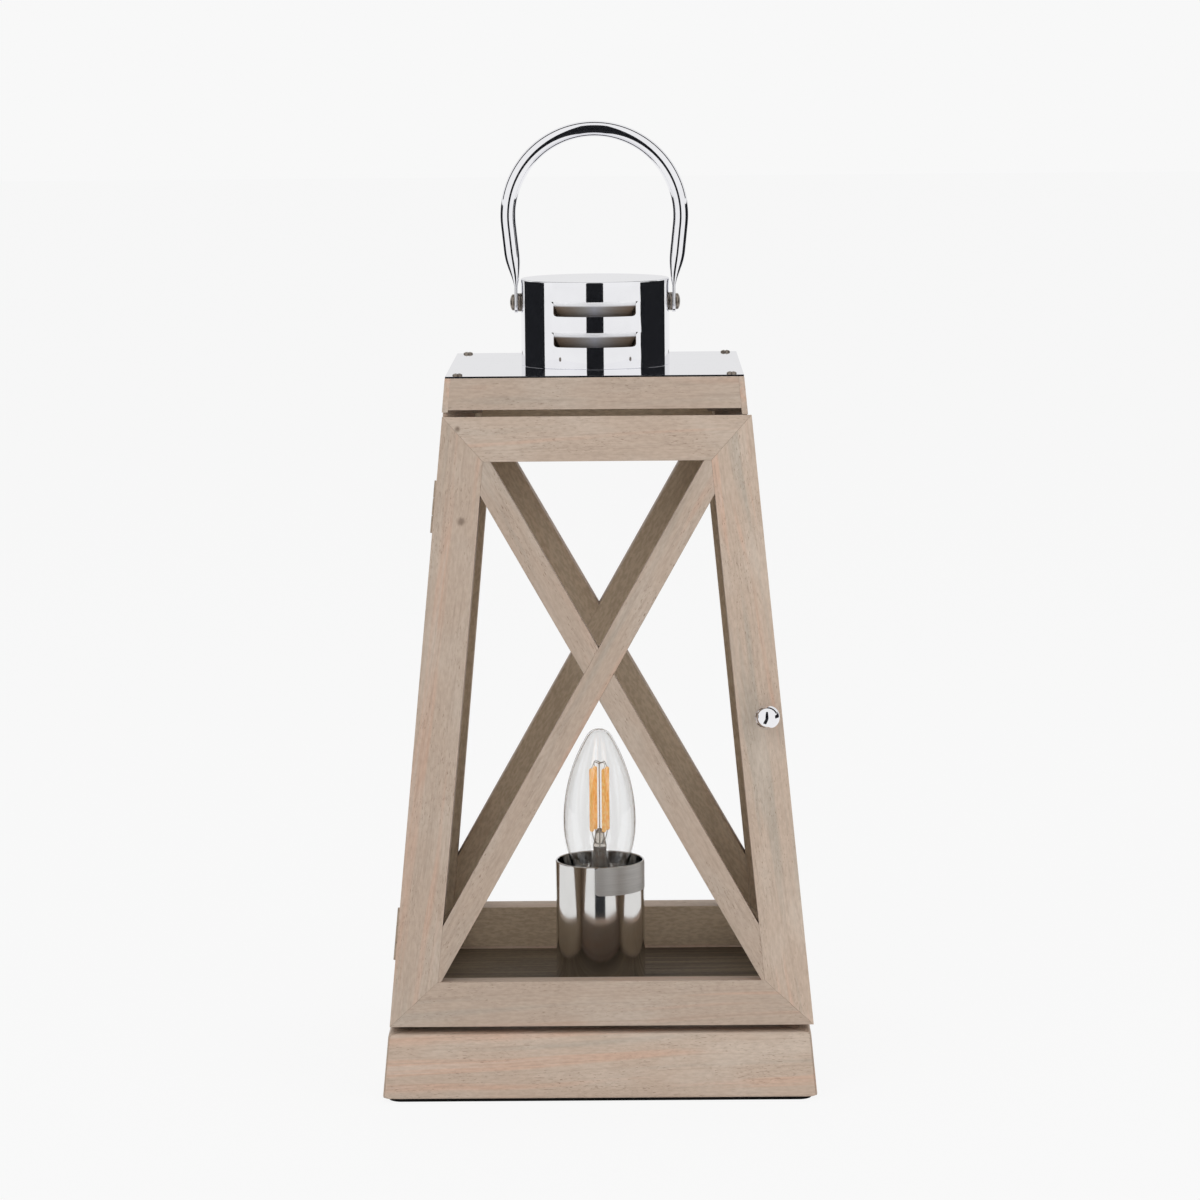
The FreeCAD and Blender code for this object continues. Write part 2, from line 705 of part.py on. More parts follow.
catch_level = f"({door_top} - sizes.catch_setback)"
catch_place = (f"({half_at(catch_level)} - sizes.frame_depth / 2)", catch_level)
strike_plate = on_door(
    "strike_plate", cylinder, *catch_place, "sizes.door_depth", "sizes.strike_radius", "sizes.strike_depth"
)
strike_room = on_door(
    "strike_room", cylinder, *catch_place, "sizes.door_depth + sizes.strike_depth", "sizes.strike_radius",
    "2 * sizes.strike_depth",
)
catch_magnet = on_door(
    "catch_magnet", cylinder, *catch_place, frame_leaf_inset, "sizes.magnet_radius",
    "sizes.magnet_depth", outward=False,
)
magnet_room = on_door(
    "magnet_room", cylinder, *catch_place, f"{frame_leaf_inset} - sizes.magnet_depth",
    "sizes.magnet_radius", "2 * sizes.magnet_depth", outward=False,
)
keep(strike_plate, catch_magnet)
keep(cut("door_knob_stile", door_knob_blank, shank_room, head_room, strike_room))
keep(cut("right_front_stile", right_front_blank, magnet_room))


# ---- Cap -------------------------------------------------------------------------------------------

def side_cap_plan(half):
    """Side board with both ends rebated, so that a thin lip runs on to the corners of the case."""
    reach = f"({half} - sizes.rebate_depth)"
    return [
        (f"-{half}", "0"),
        (half, "0"),
        (half, "sizes.lip_width"),
        (reach, "sizes.lip_width"),
        (reach, "sizes.cap_depth"),
        (f"-{reach}", "sizes.cap_depth"),
        (f"-{reach}", "sizes.lip_width"),
        (f"-{half}", "sizes.lip_width"),
    ]


def end_cap_plan(half):
    return [
        (f"sizes.lip_width - {half}", "0"),
        (f"{half} - sizes.lip_width", "0"),
        (f"{half} - sizes.lip_width", "sizes.rebate_depth"),
        (f"sizes.lip_width - {half}", "sizes.rebate_depth"),
    ]


plate_half = f"({half_at(cap_top)} - sizes.plate_margin)"
screw_spot = f"({plate_half} - sizes.plate_screw_inset)"
corners = [
    ("left_front", "-", "-"),
    ("right_front", "", "-"),
    ("left_back", "-", ""),
    ("right_back", "", ""),
]
plate_screws = []
pilot_holes = {}
plate_holes = []
shank_bottom = f"{plate_top} - sizes.plate_screw_length"
for name, x_sign, y_sign in corners:
    x = f"{x_sign}{screw_spot}"
    y = f"{y_sign}{screw_spot}"
    shank = cylinder(
        f"{name}_shank", "sizes.plate_screw_radius",
        "sizes.plate_screw_length + sizes.plate_head_height / 2", x, y, shank_bottom,
    )
    head = dome(f"{name}_head", "sizes.plate_head_radius", "sizes.plate_head_height", x, y, plate_top)
    plate_screws.append(fuse(f"{name}_plate_screw", shank, head))
    hole = cylinder(
        f"{name}_pilot", "sizes.plate_screw_radius + sizes.fit",
        "sizes.plate_screw_length + 2 * sizes.overrun", x, y, f"{shank_bottom} - sizes.overrun",
    )
    pilot_holes[name] = hole
    plate_holes.append(hole)

relief = box(
    "lip_relief_room", "sizes.rebate_depth", "sizes.rebate_depth", "sizes.lip_relief + sizes.overrun",
    f"sizes.lip_width + sizes.overrun - {half_at(frame_top)} - sizes.rebate_depth",
    f"-{half_at(frame_top)}", f"{frame_top} - sizes.overrun",
)
left_cap = board("cap_left_blank", 270, frame_top, cap_top, side_cap_plan)
front_cap = board("cap_front_blank", 0, cap_front_bottom, cap_top, end_cap_plan)
back_cap = board("cap_back_blank", 180, frame_top, cap_top, end_cap_plan)
keep(cut("cap_left_board", left_cap, relief))
keep(board("cap_right_board", 90, frame_top, cap_top, side_cap_plan))
keep(cut("cap_front_board", front_cap, pilot_holes["left_front"], pilot_holes["right_front"]))
keep(cut("cap_back_board", back_cap, pilot_holes["left_back"], pilot_holes["right_back"]))

ring_spot = "(sizes.flange_screw_ring / sqrt(2))"
flange_screws = []
flange_holes = []
flange_top = f"({plate_top} + sizes.sheet_depth)"
for name, x_sign, y_sign in corners:
    x = f"{x_sign}{ring_spot}"
    y = f"{y_sign}{ring_spot}"
    tip = f"{flange_top} - sizes.flange_screw_length"
    shank = cylinder(
        f"{name}_flange_shank", "sizes.flange_screw_radius",
        "sizes.flange_screw_length + sizes.flange_head_height / 2", x, y, tip,
    )
    head = dome(
        f"{name}_flange_head", "sizes.flange_head_radius", "sizes.flange_head_height", x, y, flange_top
    )
    flange_screws.append(fuse(f"{name}_flange_screw", shank, head))
    flange_holes.append(cylinder(
        f"{name}_flange_hole", "sizes.flange_screw_radius + sizes.fit",
        "sizes.flange_screw_length + 2 * sizes.overrun", x, y, f"{tip} - sizes.overrun",
    ))

panel_plan = lambda half: [
    (f"sizes.cap_depth - {half}", "sizes.rebate_depth"),
    (f"{half} - sizes.cap_depth", "sizes.rebate_depth"),
    (f"{half} - sizes.cap_depth", f"2 * {half} - sizes.rebate_depth"),
    (f"sizes.cap_depth - {half}", f"2 * {half} - sizes.rebate_depth"),
]
vent = cylinder(
    "vent", "sizes.vent_radius", "sizes.panel_depth + sizes.plate_depth + 2 * sizes.overrun",
    z=f"{panel_bottom} - sizes.overrun",
)
panel_blank = board("top_panel_blank", 0, panel_bottom, cap_top, panel_plan)
keep(cut("top_panel", panel_blank, vent, *flange_holes))
plate_blank = box(
    "plate_blank", f"2 * {plate_half}", f"2 * {plate_half}", "sizes.plate_depth",
    f"-{plate_half}", f"-{plate_half}", cap_top,
)
keep(cut("top_plate", plate_blank, vent, *flange_holes, *plate_holes))
keep(group("plate_screws", *plate_screws))


# ---- Chimney cap with pressed louvres ----------------------------------------------------------------

outer = "sizes.chimney_radius"
wall_inner = "(sizes.chimney_radius - sizes.sheet_depth)"
chimney_top = f"({plate_top} + sizes.chimney_height)"
shell = turned("chimney_shell", [
    ("sizes.vent_radius", plate_top),
    (outer, plate_top),
    (outer, chimney_top),
    ("0", chimney_top),
    ("0", f"{chimney_top} - sizes.sheet_depth"),
    (wall_inner, f"{chimney_top} - sizes.sheet_depth"),
    (wall_inner, flange_top),
    ("sizes.vent_radius", flange_top),
])


def on_top_rim(edge):
    near = driving["sheet_depth"] / 2
    level = abs(edge.BoundBox.ZMin - number(chimney_top)) < near and edge.BoundBox.ZLength < near
    return level and edge.BoundBox.XMax > number(wall_inner)


round_edges(shell, "chimney_rim", "sizes.chimney_edge", on_top_rim)

half_sweep = f"(asin(sizes.louvre_width / 2 / {outer}) / 1 deg)"
half_louvre = "(sizes.louvre_width / 2)"
slot_inner = f"sqrt({wall_inner}^2 - ({half_louvre} + sizes.louvre_ear)^2)"
slot_depth = f"({outer} - {slot_inner} + 2 * sizes.overrun)"
flaps = []
slots = []
for tier, tier_rise in (("low", "sizes.louvre_low"), ("high", "sizes.louvre_low + sizes.louvre_pitch")):
    slot_low = f"({plate_top} + {tier_rise})"
    slot_high = f"({slot_low} + sizes.louvre_height)"
    inner_edge = (
        f"{outer} - sizes.louvre_height * sin(sizes.flap_angle)",
        f"{slot_high} - sizes.louvre_height * cos(sizes.flap_angle)",
    )
    lift_in = "sizes.sheet_depth * cos(sizes.flap_angle)"
    lift_up = "sizes.sheet_depth * sin(sizes.flap_angle)"
    section = [
        (outer, slot_high),
        inner_edge,
        (f"{inner_edge[0]} - {lift_in}", f"{inner_edge[1]} + {lift_up}"),
        (wall_inner, f"{slot_high} + {lift_up} - sizes.sheet_depth * cos(sizes.flap_angle) / 2"),
    ]
    slot_outline = [
        (f"sizes.louvre_corner - {half_louvre}", slot_low),
        (f"{half_louvre} - sizes.louvre_corner", slot_low),
        (half_louvre, f"{slot_low} + sizes.louvre_corner"),
        (half_louvre, f"{slot_high} - sizes.louvre_ear"),
        (f"{half_louvre} + sizes.louvre_ear", slot_high),
        (f"-{half_louvre} - sizes.louvre_ear", slot_high),
        (f"-{half_louvre}", f"{slot_high} - sizes.louvre_ear"),
        (f"-{half_louvre}", f"{slot_low} + sizes.louvre_corner"),
    ]
    slot_start = f"vector(0; -{outer} - sizes.overrun; 0)"
    for facing, turn in (("front", 0), ("back", 180)):
        flap = turned(f"{facing}_{tier}_flap", section)
        flap.Tip.setExpression("Angle", f"2 * {half_sweep}")
        flap.setExpression("Placement", f"placement(vector(0; 0; 0); rotationz({turn} - 90 - {half_sweep}))")
        flaps.append(flap)
        slot = padded(f"{facing}_{tier}_slot", "XZ_Plane", slot_outline, slot_depth, "vector(0; 1; 0)")
        slot.setExpression("Placement", f"placement(rotationz({turn}) * {slot_start}; rotationz({turn}))")
        slots.append(slot)
along_x = "rotation(vector(0; 1; 0); 90)"
pivot_bore = "sizes.pivot_radius + sizes.fit"
pivot_hole = cylinder(
    "pivot_hole", pivot_bore, f"4 * {outer}", f"-2 * {outer}", "0", pivot_level, along_x
)
slotted = cut("slotted_shell", shell, *slots)
keep(cut("chimney_cap", fuse("louvred_shell", slotted, *flaps), pivot_hole, *flange_holes))
keep(group("chimney_screws", *flange_screws))


# ---- Bail and its pivots -----------------------------------------------------------------------------

def size(name):
    return number(f"sizes.{name}")


def bail_shape():
    """Tube bent to a half circle with slightly closing legs, whose ends are pressed flat and rounded.

    The path is a straight leg, an arc of 180 degrees plus twice the leg's lean, and the other leg.
    """
    plate = number(plate_top)
    pivot = number(pivot_level)
    centre = plate + size("bail_centre")
    radius = size("bail_radius")
    lean = number("sizes.bail_lean * pi / 180")
    cosine = number("cos(sizes.bail_lean)")
    sine = number("sin(sizes.bail_lean)")
    tube = size("bail_tube") / 2
    bend_end = FreeCAD.Vector(radius * cosine, 0, centre - radius * sine)
    crush_top = pivot + size("bail_flat_length") + size("bail_crush")
    flat_top = pivot + size("bail_flat_length")
    leg = lambda level: FreeCAD.Vector(bend_end.x - (bend_end.z - level) * sine / cosine, 0, level)
    down = FreeCAD.Vector(-sine, 0, -cosine)
    round_end = leg(crush_top)
    mirrored = lambda point: FreeCAD.Vector(-point.x, 0, point.z)
    crown = FreeCAD.Vector(0, 0, centre + radius)
    path = Part.Wire([
        Part.LineSegment(round_end, bend_end).toShape(),
        Part.Arc(bend_end, crown, mirrored(bend_end)).toShape(),
        Part.LineSegment(mirrored(bend_end), mirrored(round_end)).toShape(),
    ])
    start = Part.Wire([Part.Circle(round_end, down, tube).toShape()])
    bend = path.makePipeShell([start], True, False)

    half_thick = size("bail_flat") / 2
    half_wide = size("bail_flat_width") / 2
    flat_x = size("chimney_radius") + size("spacer_gap") + half_thick
    ends = []
    for side in (1, -1):
        middle = FreeCAD.Vector(side * flat_x, 0, flat_top)
        oval = Part.Ellipse(FreeCAD.Vector(0, 0, 0), half_wide, half_thick).toShape()
        oval.rotate(FreeCAD.Vector(0, 0, 0), FreeCAD.Vector(0, 0, 1), 90)
        oval.translate(middle)
        ring = Part.Circle(FreeCAD.Vector(0, 0, 0), FreeCAD.Vector(0, 0, 1), tube).toShape()
        ring.rotate(FreeCAD.Vector(0, 0, 0), FreeCAD.Vector(0, 0, 1), 90)
        ring.rotate(FreeCAD.Vector(0, 0, 0), FreeCAD.Vector(0, 1, 0), side * size("bail_lean"))
        ring.translate(FreeCAD.Vector(side * round_end.x, 0, crush_top))
        ends.append(Part.makeLoft([Part.Wire([ring]), Part.Wire([oval])], True, True))
        tongue = Part.makeBox(
            2 * half_thick, 2 * half_wide, flat_top - pivot + half_thick,
            FreeCAD.Vector(side * flat_x - half_thick, -half_wide, pivot),
        )
        tip_start = FreeCAD.Vector(side * flat_x - half_thick, 0, pivot)
        tip = Part.makeCylinder(half_wide, 2 * half_thick, tip_start, FreeCAD.Vector(1, 0, 0))
        ends.append(tongue)
        ends.append(tip)
    whole = bend.fuse(ends).removeSplitter()
    hole_start = FreeCAD.Vector(-2 * flat_x, 0, pivot)
    hole = Part.makeCylinder(number(pivot_bore), 4 * flat_x, hole_start, FreeCAD.Vector(1, 0, 0))
    return whole.cut(hole)


bail_handle = doc.addObject("Part::Feature", "bail_handle")
bail_handle.Shape = bail_shape()
keep(bail_handle)

flat_outer = f"({outer} + sizes.spacer_gap + sizes.bail_flat)"
nut_outer = f"(sqrt({wall_inner}^2 - sizes.nut_radius^2) - sizes.fit)"
shank_inner = f"({nut_outer} - sizes.nut_depth - sizes.overrun)"
pivot_screws = []
pivot_nuts = []
pivot_spacers = []
for name, sign, turn in (("right", "", along_x), ("left", "-", "rotation(vector(0; 1; 0); -90)")):
    shank = cylinder(
        f"{name}_pivot_shank", "sizes.pivot_radius",
        f"{flat_outer} + sizes.pivot_head_height / 2 - {shank_inner}",
        f"{sign}{shank_inner}", "0", pivot_level, turn,
    )
    head = dome(
        f"{name}_pivot_head", "sizes.pivot_head_radius", "sizes.pivot_head_height",
        f"{sign}({flat_outer} + sizes.fit)", "0", pivot_level, turn,
    )
    pivot_screws.append(fuse(f"{name}_pivot_screw", shank, head))
    bore = cylinder(f"{name}_pivot_bore", pivot_bore, f"2 * {outer}", z=pivot_level, turn=turn)
    spacer = cylinder(
        f"{name}_spacer_blank", "sizes.spacer_radius", "sizes.spacer_gap - 2 * sizes.fit",
        f"{sign}({outer} + sizes.fit)", "0", pivot_level, turn,
    )
    pivot_spacers.append(cut(f"{name}_spacer", spacer, bore))
    hexagon = doc.addObject("Part::Prism", f"{name}_nut_blank")
    hexagon.Polygon = 6
    hexagon.setExpression("Circumradius", "sizes.nut_radius")
    hexagon.setExpression("Height", "sizes.nut_depth")
    place(hexagon, f"{sign}({nut_outer} - sizes.nut_depth)", "0", pivot_level, turn)
    pivot_nuts.append(cut(f"{name}_nut", hexagon, bore))
keep(group("bail_pivot_screws", *pivot_screws))
keep(group("bail_nuts", *pivot_spacers, *pivot_nuts))


# ---- Lamp cup, holder and bulb ---------------------------------------------------------------------

keep(turned("lamp_cup", [
    (nipple_hole, floor_top),
    ("sizes.cup_radius", floor_top),
    ("sizes.cup_radius", f"{floor_top} + sizes.cup_height"),
    ("sizes.cup_radius - sizes.cup_wall", f"{floor_top} + sizes.cup_height"),
    ("sizes.cup_radius - sizes.cup_wall", cup_floor),
    (nipple_hole, cup_floor),
]))
nipple_low = f"({floor_bottom} - sizes.nipple_below)"
nipple_high = f"({holder_bottom} + sizes.nipple_above)"
keep(turned("nipple", [
    ("sizes.nipple_bore", nipple_low),
    ("sizes.nipple_radius", nipple_low),
    ("sizes.nipple_radius", nipple_high),
    ("sizes.nipple_bore", nipple_high),
]))
nipple_nuts = []
for name, level in (("lower", f"{floor_bottom} - sizes.hex_nut_depth"), ("upper", cup_floor)):
    hexagon = doc.addObject("Part::Prism", f"{name}_nipple_nut_blank")
    hexagon.Polygon = 6
    hexagon.setExpression("Circumradius", "sizes.hex_nut_radius")
    hexagon.setExpression("Height", "sizes.hex_nut_depth")
    place(hexagon, "0", "0", level, upright)
    bore = cylinder(f"{name}_nipple_bore", nipple_hole, "sizes.hex_nut_depth + 2 * sizes.overrun",
                    z=f"{level} - sizes.overrun")
    nipple_nuts.append(cut(f"{name}_nipple_nut", hexagon, bore))
keep(group("nipple_nuts", *nipple_nuts))

holder_bore = "(sizes.bulb_cap_radius + sizes.bulb_cap_clearance)"
holder_top = f"({holder_bottom} + sizes.holder_height)"
holder_floor = f"({contact_top} - sizes.contact_depth)"
holder_blank = turned("holder_blank", [
    ("0", holder_bottom),
    ("sizes.holder_radius", holder_bottom),
    ("sizes.holder_radius", holder_top),
    (holder_bore, holder_top),
    (holder_bore, holder_floor),
    ("0", holder_floor),
])
holder_thread = cylinder(
    "holder_thread", nipple_hole, "sizes.nipple_above + 2 * sizes.overrun",
    z=f"{holder_bottom} - sizes.overrun",
)
keep(cut("lampholder", holder_blank, holder_thread))
keep(cylinder("holder_contact", "sizes.contact_radius", "sizes.contact_depth", z=holder_floor))


def bulb_glass_shape():
    """Candle bulb turned to a shell. Three circles run into each other: one up from the neck to the widest
    place, one of the slim upper part, whose radius follows from the length, and the small one of the tip.
    """
    neck_level = number(bulb_neck_level)
    widest_level = neck_level + size("bulb_widest_rise")
    shoulder_level = neck_level + size("bulb_shoulder_rise")

    def on_circle(radius, bend, rise):
        return radius - bend + (bend ** 2 - rise ** 2) ** 0.5

    def solid(wall):
        widest = size("bulb_radius") - wall
        low_bend = size("bulb_low_bend") - wall
        low_rise = shoulder_level - widest_level
        tip_bend = size("bulb_tip_bend") - wall
        height = number(bulb_tip) - wall - widest_level
        high_bend = (widest ** 2 + height ** 2 - 2 * height * tip_bend) / (2 * (widest - tip_bend))
        offset = high_bend - widest
        tip_centre = height - tip_bend
        share = high_bend / (high_bend - tip_bend)
        join = (offset * share - offset, tip_centre * share)

        def point(radius, rise):
            return FreeCAD.Vector(radius, 0, widest_level + rise)

        neck = FreeCAD.Vector(size("bulb_neck") - wall, 0, neck_level)
        foot = FreeCAD.Vector(0, 0, neck_level)
        shoulder = point(on_circle(widest, low_bend, low_rise), low_rise)
        half_low = point(on_circle(widest, low_bend, low_rise / 2), low_rise / 2)
        half_high = point(on_circle(widest, high_bend, join[1] / 2), join[1] / 2)
        tip = point(0, height)
        half_tip = (join[0] / 2, tip_centre + (tip_bend ** 2 - (join[0] / 2) ** 2) ** 0.5)
        edges = [
            Part.LineSegment(foot, neck).toShape(),
            Part.LineSegment(neck, shoulder).toShape(),
            Part.Arc(shoulder, half_low, point(widest, 0)).toShape(),
            Part.Arc(point(widest, 0), half_high, point(*join)).toShape(),
            Part.Arc(point(*join), point(*half_tip), tip).toShape(),
            Part.LineSegment(tip, foot).toShape(),
        ]
        return Part.Face(Part.Wire(edges)).revolve(FreeCAD.Vector(0, 0, 0), FreeCAD.Vector(0, 0, 1), 360)

    return solid(0).cut(solid(size("bulb_glass")))


bulb_envelope = doc.addObject("Part::Feature", "bulb_envelope")
bulb_envelope.Shape = bulb_glass_shape()
keep(bulb_envelope)
cap_shell = cylinder(
    "bulb_cap_shell", "sizes.bulb_cap_radius", "sizes.bulb_cap_length - sizes.bulb_point_length",
    z=f"{bulb_foot} + sizes.bulb_point_length",
)
cap_collar = doc.addObject("Part::Cone", "bulb_cap_collar")
cap_collar.setExpression("Radius1", "sizes.bulb_cap_radius")
cap_collar.setExpression("Radius2", "sizes.bulb_neck")
cap_collar.setExpression("Height", "sizes.bulb_cap_flare")
place(cap_collar, "0", "0", f"{bulb_neck_level} - sizes.bulb_cap_flare", upright)
cap_point = doc.addObject("Part::Cone", "bulb_cap_point")
cap_point.setExpression("Radius1", "sizes.bulb_point_radius")
cap_point.setExpression("Radius2", "sizes.bulb_cap_radius - sizes.bulb_point_step")
cap_point.setExpression("Height", "sizes.bulb_point_length")
place(cap_point, "0", "0", bulb_foot, upright)
keep(fuse("bulb_cap", cap_shell, cap_collar, cap_point))
stem_top = f"({bulb_neck_level} + sizes.stem_height)"
keep(turned("bulb_stem", [
    ("0", bulb_neck_level),
    ("sizes.bulb_neck - sizes.bulb_glass - sizes.stem_clearance", bulb_neck_level),
    ("sizes.stem_radius", f"{bulb_neck_level} + sizes.stem_height / 3"),
    ("sizes.stem_tip_radius", stem_top),
    ("0", stem_top),
]))
filaments = []
for index in range(4):
    bearing = f"({index} * 90 + 30)"
    foot = f"({stem_top} - sizes.filament_drop)"
    strip = cylinder(
        f"filament_{index}_strip", "sizes.filament_radius", "sizes.filament_length",
        f"sizes.filament_ring * cos{bearing}", f"sizes.filament_ring * sin{bearing}", foot,
    )
    wire = cylinder(
        f"filament_{index}_wire", "sizes.lead_radius", "sizes.filament_ring - sizes.lead_start",
        f"sizes.lead_start * cos{bearing}", f"sizes.lead_start * sin{bearing}",
        f"{foot} + sizes.lead_radius", f"rotationz{bearing} * {along_x}",
    )
    filaments.append(fuse(f"filament_{index}", strip, wire))
keep(group("bulb_filaments", *filaments))


# ---- Check and export ------------------------------------------------------------------------------

doc.recompute()
failed = [item.Label for item in doc.Objects if "Invalid" in item.State or "Error" in item.State]
if failed:
    raise SystemExit(f"failed objects: {failed}")
for node in nodes:
    if node.Shape.isNull() or not node.Shape.isValid() or not node.Shape.Solids:
        raise SystemExit(f"bad shape: {node.Label}")
os.makedirs("parts", exist_ok=True)
for node in nodes:
    node.Shape.exportStep(f"parts/{node.Label}.step")
print(len(nodes), "nodes", sum(len(node.Shape.Solids) for node in nodes), "solids")
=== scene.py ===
import json
import bmesh
import bpy
import numpy as np
from mathutils import Matrix, Vector

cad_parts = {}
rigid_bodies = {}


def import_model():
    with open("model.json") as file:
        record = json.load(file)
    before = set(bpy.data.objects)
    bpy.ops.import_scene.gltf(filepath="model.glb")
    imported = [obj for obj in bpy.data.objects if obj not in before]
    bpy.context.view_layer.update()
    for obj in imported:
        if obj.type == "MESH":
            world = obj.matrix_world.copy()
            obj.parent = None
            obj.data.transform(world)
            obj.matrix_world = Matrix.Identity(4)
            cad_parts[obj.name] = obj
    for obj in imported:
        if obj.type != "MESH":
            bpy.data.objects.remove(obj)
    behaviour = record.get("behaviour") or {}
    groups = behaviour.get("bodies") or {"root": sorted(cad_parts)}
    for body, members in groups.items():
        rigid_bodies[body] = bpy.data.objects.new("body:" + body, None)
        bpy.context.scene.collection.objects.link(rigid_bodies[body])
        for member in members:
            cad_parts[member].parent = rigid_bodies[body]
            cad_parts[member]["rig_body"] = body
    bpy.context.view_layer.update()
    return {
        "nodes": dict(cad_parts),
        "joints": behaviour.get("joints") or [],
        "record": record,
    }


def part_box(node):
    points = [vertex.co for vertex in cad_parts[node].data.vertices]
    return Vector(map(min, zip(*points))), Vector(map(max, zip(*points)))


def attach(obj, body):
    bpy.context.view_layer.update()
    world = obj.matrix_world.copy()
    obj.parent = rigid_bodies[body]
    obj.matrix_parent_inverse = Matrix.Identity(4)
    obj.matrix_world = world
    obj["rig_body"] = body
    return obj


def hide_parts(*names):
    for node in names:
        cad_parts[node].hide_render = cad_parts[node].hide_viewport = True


# Lantern table lamp: washed wood case with crossed frames, polished metal top, and a clear candle bulb.
# Metres everywhere. +Z is up and the door faces -Y.

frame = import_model()
nodes = frame["nodes"]
bodyOf = {name: obj["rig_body"] for name, obj in nodes.items()}
chance = np.random.default_rng(11)
print("frame loaded:", len(nodes), "nodes")


# Shader tools

def light(code):  # a colour written as it looks, such as "b9a898", turned into linear light
    parts = [int(code[i:i + 2], 16) / 255 for i in (0, 2, 4)]
    return (*[((c + 0.055) / 1.055) ** 2.4 if c > 0.04045 else c / 12.92 for c in parts], 1.0)


class Wire:
    # a socket that can be reckoned with: an expression on wires adds its Math nodes
    def __init__(self, tree, socket=None):
        self.tree = tree
        self.socket = socket

    def node(self, kind, settings=None, values=None, out=0):
        # settings are the node's own options, values its inputs, as numbers or wires; out is the output used
        made = self.tree.nodes.new(kind)
        for name, value in (settings or {}).items():
            if name == "stops":
                stops = made.color_ramp.elements
                while len(stops) < len(value):
                    stops.new(1.0)
                for stop, (spot, colour) in zip(stops, value):
                    stop.position = spot
                    stop.color = light(colour)
            else:
                setattr(made, name, value)
        for name, value in (values or {}).items():
            if isinstance(value, Wire):
                self.tree.links.new(value.socket, made.inputs[name])
            else:
                made.inputs[name].default_value = value
        return Wire(self.tree, made.outputs[out])

    def maths(self, operation, *values):
        return self.node("ShaderNodeMath", {"operation": operation}, dict(enumerate(values)))

    def __add__(self, other):
        return self.maths("ADD", self, other)

    def __sub__(self, other):
        return self.maths("SUBTRACT", self, other)

    def __rsub__(self, other):
        return self.maths("SUBTRACT", other, self)

    def __mul__(self, other):
        return self.maths("MULTIPLY", self, other)

    __radd__ = __add__
    __rmul__ = __mul__

    def mix(self, first, second, kind="MIX"):  # first where this wire is 0, second where it is 1
        ends = {0: self, 6: first, 7: second}
        return self.node("ShaderNodeMix", {"data_type": "RGBA", "blend_type": kind}, ends, 2)

    def step(self, low, high):  # smooth rise from 0 at low to 1 at high
        limits = {"Value": self, "From Min": low, "From Max": high}
        return self.node("ShaderNodeMapRange", {"interpolation_type": "SMOOTHSTEP"}, limits)

    def noise(self, sizes, detail=2.0):  # noise whose spots are about this long in x, y and z
        shrunk = self.node("ShaderNodeVectorMath", {"operation": "DIVIDE"}, {0: self, 1: sizes})
        return self.node("ShaderNodeTexNoise", None, {"Vector": shrunk, "Scale": 1.0, "Detail": detail})

    def bump(self, depth, strength):
        return self.node("ShaderNodeBump", None, {"Height": self, "Distance": depth, "Strength": strength})


def finish(name, paint, **plain):
    # material whose varying sockets come from paint, and whose even ones are plain numbers
    material = bpy.data.materials.new(name)
    material.use_nodes = True
    tree = material.node_tree
    shader = tree.nodes["Principled BSDF"]
    for socket, value in plain.items():
        shader.inputs[socket.replace("_", " ")].default_value = value
    place = Wire(tree).node("ShaderNodeTexCoord", out="Object")
    for socket, value in paint(place).items():
        tree.links.new(value.socket, shader.inputs[socket.replace("_", " ")])
    return material


# Finishes

woodLook = {
    "grey": "b8ab9d", "beige": "c5b1a0", "pink": "cdae9a", "pale": "cfc1b3",
    "fleck": "7a6653", "line": "a59384", "knot": "6f5d4f", "dirt": "6d6259",
    "shade": "c8b59c",  # colour of the surfaces turned to the middle of the case, under the painted shade that darkens them in blotches
    # how long, wide and deep each kind of mark is, in mm, as the grain is
    "sway": (90.0, 30.0, 30.0), "band": (240.0, 6.0, 10.0), "patch": (40.0, 14.0, 14.0),
    "streak": (150.0, 0.9, 1.6), "mottle": (3.2, 1.1, 1.1), "fibre": (22.0, 0.30, 0.30),
    "pore": (2.4, 0.24, 0.30), "poreField": (30.0, 9.0, 9.0),
    "slant": 0.045, "wave": 5.0,  # how the bands lean, in radians, and how far they sway, in mm
    # how much of the colour each kind of mark covers where it is strongest
    "cover": {"patch": 0.55, "streak": 0.25, "pore": 0.8, "knot": 0.75, "wash": 0.3, "inside": 0.75},
    "mottleTint": (0.86, 0.85, 0.84, 1.0), "fibreTint": (0.94, 0.94, 0.94, 1.0),
    # painted shade: darkens the faces inside the case in blotches
    "insideTint": (0.82, 0.81, 0.79, 1.0),
    # middles and radii of the knots on the hinge stile, in metres
    "knots": [((-0.0614, -0.0746, 0.2662), 0.0026), ((-0.0627, -0.0705, 0.3082), 0.0018)],
}


def attribute(place, name, out="Fac"):
    # what the mesh says of itself under this name
    return place.node("ShaderNodeAttribute", {"attribute_name": name}, out=out)


